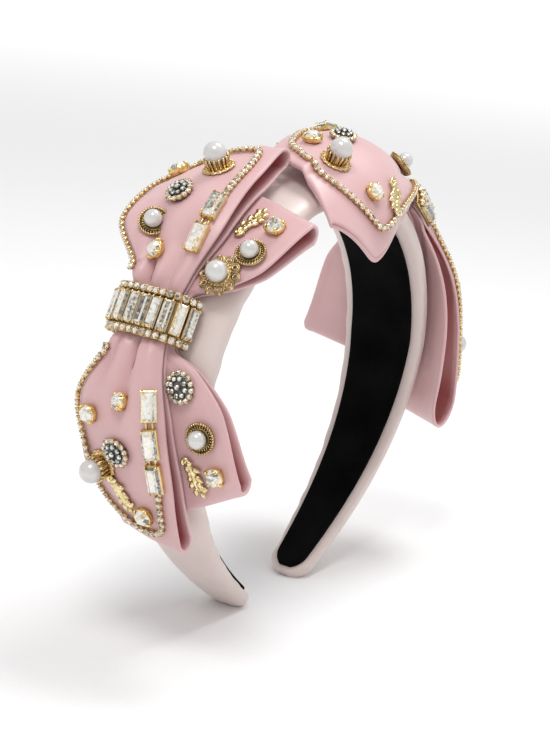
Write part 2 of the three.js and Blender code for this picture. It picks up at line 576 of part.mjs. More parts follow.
// Round cord along a route over a loop's cloth
function chainCord(loop, route) {
  const stops = route.map(([t, q]) => new THREE.Vector3(t, q, 0));
  const guide = new THREE.CatmullRomCurve3(stops, false, "centripetal");
  const lift = CHARM_LIFT + CHAIN_RADIUS;
  const over = (p) => new THREE.Vector3().setFromMatrixPosition(onCloth(loop, p.x, p.y, lift));
  const path = new THREE.CatmullRomCurve3(guide.getPoints(200).map(over));
  const steps = Math.round(path.getLength() / CHAIN_STEP);
  const rings = [];
  for (let i = 0; i <= steps; i += 1) {
    const place = path.getPointAt(i / steps);
    const ahead = path.getTangentAt(i / steps);
    const p = guide.getPoint(path.getUtoTmapping(i / steps));
    const off = new THREE.Vector3().setFromMatrixColumn(onCloth(loop, p.x, p.y, 0), 2);
    off.addScaledVector(ahead, -off.dot(ahead)).normalize();
    const side = new THREE.Vector3().crossVectors(off, ahead);
    const ring = [];
    for (let k = 0; k < CHAIN_SIDES; k += 1) {
      const turn = (2 * Math.PI * k) / CHAIN_SIDES;
      const spoke = side.clone().multiplyScalar(Math.cos(turn)).addScaledVector(off, Math.sin(turn));
      ring.push(place.clone().addScaledVector(spoke, CHAIN_RADIUS));
    }
    rings.push(ring);
  }
  return loft(rings);
}

// Charms

function leafPlate() {
  const edge = [];
  const count = 11;
  for (const side of [1, -1]) {
    for (let i = 0; i < count; i += 1) {
      const f = side > 0 ? i / count : 1 - i / count;
      const lobe = 1 + 0.22 * Math.sin(2 * Math.PI * LEAF.lobes * f);
      const half = LEAF.half * Math.sin(Math.PI * f) ** 0.75 * lobe;
      const spine = 0.5 * LEAF.bow * Math.sin(2 * Math.PI * f);
      edge.push(new THREE.Vector2(LEAF.long * (f - 0.5), spine + side * half));
    }
  }
  return new THREE.ExtrudeGeometry(new THREE.Shape(edge), { depth: LEAF.plate, bevelEnabled: false });
}

function flowerPlate() {
  const edge = [];
  const count = FLOWER.petals * 3;
  for (let i = 0; i < count; i += 1) {
    const turn = (2 * Math.PI * i) / count;
    const radius = FLOWER.radius + FLOWER.swell * Math.cos(FLOWER.petals * turn);
    edge.push(new THREE.Vector2(radius * Math.cos(turn), radius * Math.sin(turn)));
  }
  const plate = new THREE.Shape(edge);
  for (let i = 0; i < FLOWER.petals; i += 1) {
    const turn = (2 * Math.PI * i) / FLOWER.petals;
    const hole = new THREE.Path();
    const [x, y] = [FLOWER.holeRing * Math.cos(turn), FLOWER.holeRing * Math.sin(turn)];
    hole.absarc(x, y, FLOWER.holeRadius, 0, 2 * Math.PI);
    plate.holes.push(hole);
  }
  const options = { depth: FLOWER.plate, bevelEnabled: false, curveSegments: 3 };
  return join([new THREE.ExtrudeGeometry(plate, options), turned(OUTLINES.flower, CHARM_SIDES.flower)]);
}

function charmShape(kind) {
  if (kind === "leaf") return leafPlate();
  if (kind === "flower") return flowerPlate();
  return turned(OUTLINES[kind], CHARM_SIDES[kind], kind === "pave" ? PAVE_OVAL : 1);
}

// Assembly

const gold = { color: 0xc9a45c, roughness: 0.35, metalness: 1 };
const oldGold = { color: 0x8f7648, roughness: 0.45, metalness: 1 };
const steel = { color: 0x777777, roughness: 0.4, metalness: 1 };
const crystal = { color: 0xe8e6de, roughness: 0.1 };
const pearl = { color: 0xf3efe9, roughness: 0.25 };
const CHARM_LOOKS = {
  crystal: gold,
  rim_pearl: pearl,
  crown_pearl: pearl,
  pave: steel,
  leaf: gold,
  flower: oldGold,
};
const satin = { color: 0xd9b3b3, roughness: 0.5 };
const bandSatin = { color: 0xe0cfc8, roughness: 0.5 };
const velvet = { color: 0x0c0c0c, roughness: 0.95 };

const group = new THREE.Group();

function add(name, shape, look) {
  const geometry = shape.index ? shape : mergeVertices(shape, 1e-4);
  geometry.computeVertexNormals();
  const mesh = new THREE.Mesh(geometry, new THREE.MeshStandardMaterial(look));
  mesh.name = name;
  group.add(mesh);
}

add("padded_band", paddedBand(), bandSatin);
add("velvet_lining", velvetLining(), velvet);
for (const [name, loop] of Object.entries(LOOPS)) add(`${name}_loop`, ribbonLoop(loop), satin);
for (const bow of Object.keys(BOWS)) add(`${bow}_knot`, knotBand(bow), crystal);
for (const [name, route] of Object.entries(CHAINS)) {
  add(`${name}_chain`, chainCord(LOOPS[name], route), gold);
}
for (const [name, row] of Object.entries(STONE_ROWS)) {
  add(`${name}_stones`, stoneRow(LOOPS[name], row), crystal);
}
const counts = {};
for (const { loop, kind, t, q, turn } of CHARMS) {
  const stem = `${loop}_${kind}`;
  counts[stem] = (counts[stem] ?? 0) + 1;
  const shape = fromManifold(toManifold(charmShape(kind)));
  shape.applyMatrix4(onCloth(LOOPS[loop], t, q, CHARM_LIFT, turn));
  add(counts[stem] > 1 ? `${stem}_${counts[stem]}` : stem, shape, CHARM_LOOKS[kind]);
}

export default group;
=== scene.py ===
"""Looks of a padded satin headband with two ribbon bows, set with pearls, crystals and gilt charms.

Blender works in metres, +Z up, front at -Y. The tables are in millimetres, and MM takes them to metres.
Places on the band are (along, across, over): the arc from the crown with the left leg negative,
the distance to the back, and the height over the lining's face.
"""
import math

import bpy
import numpy as np
from mathutils import Matrix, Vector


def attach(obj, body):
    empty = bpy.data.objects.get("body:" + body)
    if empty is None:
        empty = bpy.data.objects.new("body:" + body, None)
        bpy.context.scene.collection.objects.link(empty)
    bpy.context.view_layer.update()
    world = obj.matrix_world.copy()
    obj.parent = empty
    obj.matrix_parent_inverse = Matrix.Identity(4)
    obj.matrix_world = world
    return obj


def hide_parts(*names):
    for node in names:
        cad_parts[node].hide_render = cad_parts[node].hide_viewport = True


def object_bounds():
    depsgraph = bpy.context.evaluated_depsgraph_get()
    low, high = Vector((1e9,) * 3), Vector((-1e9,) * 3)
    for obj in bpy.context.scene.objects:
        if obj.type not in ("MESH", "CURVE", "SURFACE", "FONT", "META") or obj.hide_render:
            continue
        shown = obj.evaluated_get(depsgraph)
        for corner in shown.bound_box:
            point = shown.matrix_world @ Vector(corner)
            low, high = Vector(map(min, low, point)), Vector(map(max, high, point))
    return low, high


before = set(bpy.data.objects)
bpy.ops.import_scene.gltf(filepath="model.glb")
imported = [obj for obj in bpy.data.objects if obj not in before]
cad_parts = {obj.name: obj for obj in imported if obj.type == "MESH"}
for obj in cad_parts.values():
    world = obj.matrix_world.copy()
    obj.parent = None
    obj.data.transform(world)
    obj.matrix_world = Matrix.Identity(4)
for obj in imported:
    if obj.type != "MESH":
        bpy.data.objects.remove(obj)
cad_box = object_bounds()

MM = 0.001
dice = np.random.default_rng(11)

# Hoop: the lining's face line from the crown to a tip, with the bend radius along it
HALF_LENGTH = 195.0
BEND_SHARE = (0.0, 0.5, 1.0)
BEND_RADIUS = (84.0, 52.4, 476.0)
HOOP_STEP = 0.5
CROWN_RISE = 0.2214

# Padded band, from crown to tip, and the velvet's section in shares of its half width and thickness
BAND_SHARE = (0.0, 0.5, 1.0)
BAND_HALF = (17.4, 15.0, 6.6)
BAND_THICK = (8.0, 7.8, 6.0)
VELVET_HALF = (12.0, 12.3, 5.4)
PAD_BULGE = 1.0
TIP_ROUND = 7.0
TIP_OVERRUN = 1.6
LINING_THICK = 0.9
PIECE_GAP = 0.3
VELVET_SECTION = (
    (-1, 0.5), (-0.99, 0.2), (-0.95, 0.05), (-0.6, 0), (0, 0), (0.6, 0), (0.95, 0.05), (0.99, 0.2), (1, 0.5),
    (0.99, 1.3), (0.4, 1.35), (-0.4, 1.35), (-0.99, 1.3),
)
BAND_RINGS = 300
BAND_SIDES = 60

# Band's section: shares of its thickness over and under its widest line, powers of its rounding,
# and the puckers where the satin is pulled round to the lining
BAND_CROWN = 0.58
BAND_SOLE = 0.42
SIDE_POWER = 2 / 3
CROWN_POWER = 2 / 2.6
SOLE_POWER = 2 / 5
TIP_THICK = 0.55
PUCKER = 0.22
PUCKER_LINE = -0.22
PUCKER_BAND = 0.2

# Ribbon
CLOTH = 0.9
LOOP_ROOT = 0.5
PLY_PITCH = 1.5
EDGE_STOPS = (0.0, 0.07, 0.22, 0.45)
OUTER_ROWS = 90
FOLD_ROWS = 14
INNER_ROWS = 48
CROSS_COLUMNS = 56

# Bed that the cloth lies on: the padding's face, flat to some way off its middle and then falling,
# and the under loop below a top loop, with its edge drawn in along t
PAD_BED = 10.3
PAD_FLAT = 11
PAD_FALL = 0.006
PAD_FALL_POWER = 3.3
UNDER_BED = 2.8
UNDER_RISE = 1.4
UNDER_RISE_REACH = 0.3
UNDER_EDGE = 14.6
UNDER_DRAW = 5
UNDER_DRAW_REACH = 0.6
UNDER_LAP = 5

# Bows: where each is tied on the band
BOWS = {"left": (-77.0, 6.0), "right": (48.0, -6.0)}

# Loops: bow, way along the band, side that the loop spreads to, lengths of its straight and spread edges,
# and stations from the knot to the end: place of the straight edge, width of the cloth from it,
# tilt of the cloth at the straight and at the spread edge, and the loop's opening at both.
STATION = ("at", "across", "over", "wide", "tilt0", "tilt1", "open0", "open1")
LOOPS = {
    "left_top_upper": ("left", 1, 1, 57, 53, (
        (0.00, -1.5, 14.6, 15, 0, 8, 1.5, 1.5),
        (0.20, -4.0, 16.2, 22, -4, 15, 2, 2),
        (0.45, -7.5, 19.4, 41, -5, 26, 4, 4),
        (0.75, -7.0, 21.0, 44, -5, 38, 6, 6),
        (1.00, -4.0, 21.0, 38, 0, 46, 7, 6),
    )),
    "left_top_lower": ("left", -1, 1, 55, 53, (
        (0.00, -1.5, 14.6, 16, 0, 8, 1.5, 1.5),
        (0.20, -4.5, 16.0, 22, -4, 12, 2, 2),
        (0.45, -10.5, 18.2, 36.5, -6, 22, 3.5, 5),
        (0.75, -14.5, 19.5, 40.5, -6, 28, 5, 7),
        (1.00, -15.0, 20.5, 34, 0, 30, 6, 8),
    )),
    "left_under_upper": ("left", 1, -1, 45, 34, (
        (0.00, 12.5, 11.8, 16.5, -2, 4, 1.5, 1.5),
        (0.20, 12.0, 12.0, 16.5, -3, 4, 1.6, 2),
        (0.32, 9.0, 12.1, 23, -4, 4, 1.6, 2.5),
        (0.55, 5.0, 12.3, 29, -5, 4, 1.7, 4),
        (1.00, 4.0, 12.6, 34, -4, 2, 2.4, 6),
    )),
    "left_under_lower": ("left", -1, -1, 54, 36, (
        (0.00, 12.5, 11.8, 16.5, -2, 4, 1.5, 1.5),
        (0.17, 12.0, 12.0, 16.5, -3, 4, 1.6, 2),
        (0.28, 9.0, 12.1, 23, -4, 4, 1.6, 2.5),
        (0.55, 4.0, 12.2, 30.5, -4, 4, 1.7, 4),
        (1.00, 1.0, 12.4, 35, -4, 4, 2.4, 6),
    )),
    "right_top_upper": ("right", -1, -1, 56, 74, (
        (0.00, 1.5, 14.6, 15, 0, 10, 1.5, 1.5),
        (0.12, 2.0, 15.0, 18, -2, 18, 1.6, 1.6),
        (0.22, 7.5, 18.5, 34, -18, 58, 2, 1.6),
        (0.45, 13.0, 20.0, 54, -22, 80, 4, 1.6),
        (0.72, 13.0, 18.5, 63, -18, 88, 4, 1.8),
        (1.00, 9.0, 15.8, 39, -12, 52, 4.5, 1.6),
    )),
    "right_top_lower": ("right", 1, -1, 64, 67, (
        (0.00, 1.5, 14.6, 15, 0, 8, 1.5, 1.5),
        (0.20, 3.0, 16.4, 20, 0, 12, 2, 3),
        (0.50, 4.0, 21.5, 29, 0, 30, 5, 8),
        (0.75, 4.0, 24.5, 31, 0, 34, 8, 12),
        (1.00, 4.0, 31.0, 30, 0, 32, 13, 17),
    )),
    "right_under_upper": ("right", -1, 1, 43, 34, (
        (0.00, -12.5, 11.8, 16.5, -2, 4, 1.5, 1.5),
        (0.20, -12.4, 12.0, 16.4, -3, 4, 1.6, 2),
        (0.32, -9.0, 12.1, 23, -4, 4, 1.6, 2.5),
        (0.55, -7.0, 12.3, 29, -5, 4, 1.7, 4),
        (1.00, -6.0, 12.6, 35, -4, 2, 2.4, 6),
    )),
    "right_under_lower": ("right", 1, 1, 60, 52, (
        (0.00, -12.5, 11.8, 16.5, -2, 4, 1.5, 1.5),
        (0.16, -12.0, 12.0, 16.5, -3, 4, 1.6, 2),
        (0.28, -9.0, 12.1, 24, -4, 4, 1.6, 2.5),
        (0.55, -6.0, 12.2, 34, -4, 4, 1.7, 4),
        (1.00, -3.0, 12.4, 39, -4, 4, 2.4, 6),
    )),
}

# Gathers: how far the cloth puffs up out of the knot, and the creases between the puffs, each with
# its q at the knot and where it dies out, its half width at both, its depth, and the t where it dies out
PUFFS = {
    "left_top_upper": (3.2, ((0.70, 0.55, 0.06, 0.11, 1.1, 0.50), (0.36, 0.24, 0.14, 0.20, 1.1, 0.42))),
    "left_top_lower": (3.2, ((0.46, 0.44, 0.05, 0.13, 1.2, 0.48), (0.80, 0.74, 0.05, 0.08, 0.6, 0.36))),
    "left_under_upper": (0.8, ((0.55, 0.50, 0.06, 0.10, 0.9, 0.40),)),
    "left_under_lower": (0.8, ((0.50, 0.48, 0.06, 0.10, 0.9, 0.40),)),
    "right_top_upper": (2.0, ((0.40, 0.30, 0.06, 0.12, 1.0, 0.45), (0.72, 0.66, 0.06, 0.10, 0.8, 0.40))),
    "right_top_lower": (2.6, ((0.42, 0.44, 0.05, 0.12, 1.1, 0.44), (0.78, 0.74, 0.05, 0.09, 0.7, 0.36))),
    "right_under_upper": (0.8, ((0.50, 0.48, 0.06, 0.10, 0.9, 0.40),)),
    "right_under_lower": (0.8, ((0.50, 0.48, 0.06, 0.10, 0.9, 0.40),)),
}
PUFF_RISE = (0.05, 0.17)
PUFF_FALL = (0.3, 0.8)
PUFF_LOWEST = -0.25
EDGE_CALM = 0.16
CREASE_FADE = (0.7, 1.25)
CREASE_POWER = 1.4
PLEATS = 6.3
PLEAT_SHIFT = 0.7
PLEAT_HEIGHT = 0.14
PLEAT_FADE = (0.1, 0.34)

# Knot: an arched strip over each tie, upright stones between two rows of small round ones
KNOT = {
    "half": 12.6, "along": 15.6, "crown": 17.2, "foot": 8.4,
    "base": 1.1, "under": 0.1, "rim": 0.7, "bevel": 0.5,
}
KNOT_REACH = 0.985
KNOT_STONES = 9
KNOT_STONE = {"wide": 3.15, "long": 9.4, "high": 2.7}
KNOT_ROW_STONES = 15
KNOT_ROW_STONE = 1.12

# Cup chain along the edges of each top loop, as (t, q) places from the knot round to the stones
CHAIN_PITCH = 2.35
CHAIN_STONE = 1.05
CHAINS = {
    "left_top_upper": (
        (0.17, 0.84), (0.3, 0.9), (0.44, 0.92), (0.62, 0.9), (0.8, 0.9), (0.92, 0.84),
        (0.955, 0.62), (0.96, 0.3), (0.93, 0.15), (0.8, 0.11), (0.57, 0.11),
    ),
    "left_top_lower": (
        (0.18, 0.84), (0.28, 0.88), (0.4, 0.9), (0.55, 0.86), (0.75, 0.83), (0.9, 0.78),
        (0.955, 0.6), (0.965, 0.3), (0.92, 0.14), (0.75, 0.11),
    ),
    "right_top_upper": (
        (0.18, 0.84), (0.35, 0.88), (0.54, 0.88), (0.7, 0.87), (0.78, 0.82), (0.88, 0.74),
        (0.955, 0.6), (0.96, 0.35), (0.93, 0.17), (0.8, 0.1), (0.6, 0.1),
    ),
    "right_top_lower": (
        (0.18, 0.86), (0.28, 0.93), (0.45, 0.94), (0.7, 0.94), (0.9, 0.93), (0.955, 0.8),
        (0.96, 0.35), (0.92, 0.15), (0.76, 0.11),
    ),
}

# Long stones in line with the chain's end, by their t on the loop
ROW_STONE = {"wide": 4.5, "long": 9.0, "high": 3.3}
STONE_ROWS = {
    "left_top_upper": (0.13, (0.49, 0.345)),
    "left_top_lower": (0.12, (0.66, 0.515, 0.37)),
    "right_top_upper": (0.1, (0.5, 0.35)),
    "right_top_lower": (0.12, (0.66, 0.515, 0.37)),
}

# Charms sewn to the loops: loop, kind, t, q, turn in the cloth's plane
CHARMS = (
    ("left_top_upper", "crystal", 0.82, 0.76, 0),
    ("left_top_upper", "crown_pearl", 0.76, 0.34, 0),
    ("left_top_upper", "pave", 0.56, 0.47, 30),
    ("left_top_upper", "rim_pearl", 0.4, 0.62, 0),
    ("left_top_upper", "crystal", 0.27, 0.52, 0),
    ("left_under_upper", "leaf", 0.78, 0.5, 10),
    ("left_under_upper", "crystal", 0.84, 0.75, 0),
    ("left_under_upper", "rim_pearl", 0.58, 0.77, 0),
    ("left_under_upper", "flower", 0.37, 0.79, 0),
    ("left_top_lower", "crystal", 0.39, 0.42, 0),
    ("left_top_lower", "crystal", 0.47, 0.72, 0),
    ("left_top_lower", "pave", 0.6, 0.46, 80),
    ("left_top_lower", "crown_pearl", 0.71, 0.66, 0),
    ("left_top_lower", "leaf", 0.81, 0.5, 50),
    ("left_top_lower", "crystal", 0.87, 0.28, 0),
    ("left_under_lower", "pave", 0.36, 0.71, 0),
    ("left_under_lower", "rim_pearl", 0.63, 0.75, 0),
    ("left_under_lower", "leaf", 0.84, 0.6, 40),
    ("left_under_lower", "crystal", 0.88, 0.82, 0),
    ("right_top_upper", "crown_pearl", 0.84, 0.46, 0),
    ("right_top_upper", "crystal", 0.82, 0.23, 0),
    ("right_top_upper", "pave", 0.64, 0.3, 20),
    ("right_top_upper", "rim_pearl", 0.22, 0.56, 0),
    ("right_top_upper", "crystal", 0.73, 0.68, 0),
    ("right_top_upper", "leaf", 0.58, 0.77, 60),
    ("right_top_lower", "crystal", 0.39, 0.42, 0),
    ("right_top_lower", "crystal", 0.53, 0.78, 0),
    ("right_top_lower", "pave", 0.6, 0.4, 80),
    ("right_top_lower", "crown_pearl", 0.8, 0.71, 0),
    ("right_top_lower", "leaf", 0.82, 0.32, 50),
    ("right_under_upper", "rim_pearl", 0.84, 0.8, 0),
    ("right_under_upper", "crystal", 0.6, 0.86, 0),
    ("right_under_lower", "pave", 0.38, 0.72, 0),
    ("right_under_lower", "rim_pearl", 0.63, 0.75, 0),
    ("right_under_lower", "leaf", 0.84, 0.48, 60),
    ("right_under_lower", "crystal", 0.88, 0.82, 0),
)
CHARM_SLOTS = {
    "crystal": "gilt",
    "rim_pearl": "pearl",
    "crown_pearl": "pearl",
    "pave": "dark_metal",
    "leaf": "gilt",
    "flower": "old_gilt",
}

# Rows of stones on a pave charm, from its rim: count, radius, height, size of a stone
PAVE_OVAL = 0.86
PAVE_ROWS = ((14, 4.5, 0.7, 0.86), (8, 2.75, 1.5, 0.84), (1, 0.0, 1.9, 0.95))

# Fronds down each side of a leaf
LEAF_FRONDS = 6

# Cut stones: corners of a square, inset and height of a step cut's rows, painted reflections of facets as
# tones, and their shares
SQUARE = ((-1, -1), (1, -1), (1, 1), (-1, 1))
STEP_ROWS = ((0.0, 0.0), (0.0, 0.45), (0.16, 0.72), (0.30, 1.0))
FACET_REFLECTIONS = (0.02, 0.2, 0.45, 0.62, 0.8, 0.9, 1.0)
FACET_REFLECTION_SHARES = (0.1, 0.14, 0.2, 0.2, 0.2, 0.08, 0.08)
POLE_GAP = 0.06

# Camera: direction from the object, roll, distance and aim, and the lens in pixels of the frame's height
VIEW_AZIMUTH = 60.337
VIEW_ELEVATION = 13.951
VIEW_ROLL = 6.692
VIEW_DISTANCE = 600.0
VIEW_AIM = (10.09, 55.64)
FOCAL_PIXELS = 1809.0
FRAME_HEIGHT = 733
SENSOR = 36.0

# Light: each lamp's place in metres, power in watts and size in metres
WORLD_STRENGTH = 0.66
LAMPS = {
    "key": ((-0.55, -0.1, 0.95), 4.6, 0.4),
    "front": ((0.3, -1.0, 0.4), 0.2, 0.6),
    "top": ((0.4, -0.1, 0.95), 5.2, 0.4),
}
LAMP_AIM = (0, 0, -0.06)

# Floor paper: it glows a little far from the object, in metres, so that it stays pale to the horizon
FLOOR_REACH = 40.0
FLOOR_GLOW_START = 0.5
FLOOR_GLOW_END = 2.5
FLOOR_GLOW = 0.4


# Materials

def new_material(name, **sockets):
    material = bpy.data.materials.new(name)
    material.use_nodes = True
    shader = material.node_tree.nodes["Principled BSDF"]
    for socket, value in sockets.items():
        shader.inputs[socket.replace("_", " ")].default_value = value
    return material, material.node_tree, shader


def node(tree, kind, **settings):
    made = tree.nodes.new(kind)
    for key, value in settings.items():
        if key in made.inputs:
            made.inputs[key].default_value = value
        else:
            setattr(made, key, value)
    return made


def ramp(tree, source, stops):
    """Colours or greys along a 0 to 1 value."""
    made = tree.nodes.new("ShaderNodeValToRGB")
    tree.links.new(source, made.inputs["Fac"])
    elements = made.color_ramp.elements
    while len(elements) < len(stops):
        elements.new(0.5)
    for element, (place, colour) in zip(elements, stops):
        element.position = place
        element.color = (*colour, 1)
    return made.outputs["Color"]


def noise(tree, where, scale, detail=3.0, rough=0.5):
    made = node(tree, "ShaderNodeTexNoise", Scale=scale, Detail=detail, Roughness=rough)
    tree.links.new(where, made.inputs["Vector"])
    return made.outputs["Fac"]


def bump(tree, shader, height, strength, distance):
    made = node(tree, "ShaderNodeBump", Strength=strength, Distance=distance)
    tree.links.new(height, made.inputs["Height"])
    tree.links.new(made.outputs["Normal"], shader.inputs["Normal"])


def grey(level):
    return (level, level, level)


def satin(name, pale, full, painted_inner_shade):
    """Satin with a fine warp, a soft drift of colour, and painted shade where the cloth faces itself inside
    a loop.
    """
    material, tree, shader = new_material(
        name, Specular_IOR_Level=0.6, Sheen_Weight=0.35, Sheen_Roughness=0.4,
        Sheen_Tint=(1, 0.95, 0.94, 1)
    )
    place = tree.nodes.new("ShaderNodeTexCoord")
    drift = noise(tree, place.outputs["Object"], 70.0, 4.0)
    tone = ramp(tree, drift, ((0.3, full), (0.7, pale)))
    # Painted shade: this point attribute darkens the inner ply of a loop towards the third colour.
    inside = node(tree, "ShaderNodeAttribute", attribute_name="painted_inner_shade")
    mix = node(tree, "ShaderNodeMix", data_type="RGBA")
    tree.links.new(inside.outputs["Fac"], mix.inputs["Factor"])
    tree.links.new(tone, mix.inputs["A"])
    mix.inputs["B"].default_value = (*painted_inner_shade, 1)
    tree.links.new(mix.outputs["Result"], shader.inputs["Base Color"])
    tree.links.new(ramp(tree, drift, ((0.3, grey(0.44)), (0.7, grey(0.35)))), shader.inputs["Roughness"])
    warp = node(tree, "ShaderNodeTexWave", Scale=900.0, Distortion=1.5, Detail=2.0, bands_direction="Y")
    tree.links.new(place.outputs["UV"], warp.inputs["Vector"])
    bump(tree, shader, warp.outputs["Fac"], 0.12, 0.00008)
    return material


def velvet():
    material, tree, shader = new_material(
        "velvet", Roughness=0.95, Specular_IOR_Level=0.05, Sheen_Weight=0.06, Sheen_Roughness=0.4,
        Sheen_Tint=(0.12, 0.12, 0.13, 1)
    )
    place = tree.nodes.new("ShaderNodeTexCoord")
    pile = noise(tree, place.outputs["Object"], 2600.0, 2.0)
    brushed = noise(tree, place.outputs["Object"], 60.0, 3.0)
    stops = ((0.3, grey(0.0015)), (0.7, grey(0.005)))
    tree.links.new(ramp(tree, brushed, stops), shader.inputs["Base Color"])
    bump(tree, shader, pile, 0.6, 0.0003)
    return material


def metal(name, bright, dull, rough, polish, patina_scale=420.0):
    """Plated metal, worn bright and dulled in patches."""
    material, tree, shader = new_material(name, Metallic=1.0)
    place = tree.nodes.new("ShaderNodeTexCoord")
    wear = noise(tree, place.outputs["Object"], patina_scale, 4.0)
    tree.links.new(ramp(tree, wear, ((0.35, dull), (0.62, bright))), shader.inputs["Base Color"])
    tree.links.new(ramp(tree, wear, ((0.3, grey(rough)), (0.7, grey(polish)))), shader.inputs["Roughness"])
    bump(tree, shader, noise(tree, place.outputs["Object"], 1500.0, 2.0), 0.15, 0.00015)
    return material


def crystal():
    """Foiled cut glass: each facet shows its own painted reflection, broken up by painted glints in small
    cells.
    """
    material, tree, shader = new_material(
        "crystal", Specular_IOR_Level=0.9, Coat_Weight=1.0, Coat_Roughness=0.02, Metallic=0.25
    )
    tone = node(tree, "ShaderNodeAttribute", attribute_name="tone")
    place = tree.nodes.new("ShaderNodeTexCoord")
    # Painted glints: small cells of random brightness mixed over the facets' tones.
    painted_glint = node(tree, "ShaderNodeTexVoronoi", Scale=1300.0)
    tree.links.new(place.outputs["Object"], painted_glint.inputs["Vector"])
    mix = node(tree, "ShaderNodeMix", data_type="FLOAT", Factor=0.42)
    tree.links.new(tone.outputs["Fac"], mix.inputs["A"])
    tree.links.new(painted_glint.outputs["Color"], mix.inputs["B"])
    # Painted reflections, from dark through grey and white to amber, as the facets' base colour.
    stops = (
        (0.1, (0.07, 0.065, 0.055)),
        (0.3, (0.30, 0.275, 0.22)),
        (0.48, (0.74, 0.71, 0.63)),
        (0.72, (0.95, 0.94, 0.90)),
        (0.9, (0.74, 0.50, 0.17)),
    )
    tree.links.new(ramp(tree, mix.outputs["Result"], stops), shader.inputs["Base Color"])
    polish = ramp(tree, tone.outputs["Fac"], ((0, grey(0.1)), (1, grey(0.05))))
    tree.links.new(polish, shader.inputs["Roughness"])
    return material


def pearl():
    material, tree, shader = new_material(
        "pearl", Roughness=0.2, Metallic=0.1, Specular_IOR_Level=0.9, Coat_Weight=1.0, Coat_Roughness=0.03,
        Coat_IOR=1.7
    )
    place = tree.nodes.new("ShaderNodeTexCoord")
    cloud = noise(tree, place.outputs["Object"], 240.0, 3.0)
    stops = ((0.3, (0.60, 0.585, 0.565)), (0.7, (0.68, 0.665, 0.65)))
    tree.links.new(ramp(tree, cloud, stops), shader.inputs["Base Color"])
    return material


LOOKS = {
    # The third colour of each satin is its painted shade inside the loops.
    "bow_satin": satin("bow_satin", (0.68, 0.43, 0.435), (0.64, 0.39, 0.40), (0.50, 0.12, 0.12)),
    "band_satin": satin("band_satin", (0.71, 0.60, 0.565), (0.67, 0.555, 0.52), (0.45, 0.3, 0.28)),
    "velvet": velvet(),
    "gilt": metal("gilt", (0.92, 0.71, 0.31), (0.74, 0.52, 0.19), 0.30, 0.16),
    "old_gilt": metal("old_gilt", (0.56, 0.42, 0.20), (0.24, 0.17, 0.08), 0.48, 0.30),
    "pale_gilt": metal("pale_gilt", (0.90, 0.77, 0.46), (0.68, 0.53, 0.26), 0.34, 0.2),
    "cup_gilt": metal("cup_gilt", (0.82, 0.62, 0.34), (0.60, 0.42, 0.20), 0.34, 0.2),
    "dark_metal": metal("dark_metal", (0.22, 0.22, 0.21), (0.07, 0.07, 0.068), 0.45, 0.28),
    "crystal": crystal(),
    "pearl": pearl(),
}


# Places on the hoop and on the cloth

def hoop_line():
    reach = np.arange(0, HALF_LENGTH + TIP_OVERRUN + 2 * HOOP_STEP, HOOP_STEP)
    share = np.minimum((reach[:-1] + HOOP_STEP / 2) / HALF_LENGTH, 1)
    bend = np.interp(share, BEND_SHARE, 1 / np.array(BEND_RADIUS))
    turn = np.concatenate([[0], np.cumsum(bend * HOOP_STEP)])
    middle = (turn[1:] + turn[:-1]) / 2
    x = np.concatenate([[0], np.cumsum(HOOP_STEP * np.cos(middle))])
    z = CROWN_RISE - np.concatenate([[0], np.cumsum(HOOP_STEP * np.sin(middle))])
    return reach, x, z, turn


HOOP = hoop_line()


def on_band(along, across, over):
    reach, x, z, turn = HOOP
    place = np.abs(along)
    lean = np.interp(place, reach, turn)
    out = np.interp(place, reach, x) + over * np.sin(lean)
    up = np.interp(place, reach, z) + over * np.cos(lean)
    return np.stack(np.broadcast_arrays(np.where(np.less(along, 0), -out, out), across, up), axis=-1)


def band_size(along, column):
    return np.interp(np.abs(along) / HALF_LENGTH, BAND_SHARE, column)


def smooth(value, low, high):
    f = np.clip((value - low) / (high - low), 0, 1)
    return f * f * (3 - 2 * f)


def cubic(at, value, lean, where):
    """Cubic pieces through values, with a lean at each."""
    i = np.clip(np.searchsorted(at, where, side="right") - 1, 0, len(at) - 2)
    w = at[i + 1] - at[i]
    x = (where - at[i]) / w
    ends = (2 * x**3 - 3 * x**2 + 1) * value[i] + (3 * x**2 - 2 * x**3) * value[i + 1]
    return ends + w * ((x**3 - 2 * x**2 + x) * lean[i] + (x**3 - x**2) * lean[i + 1])


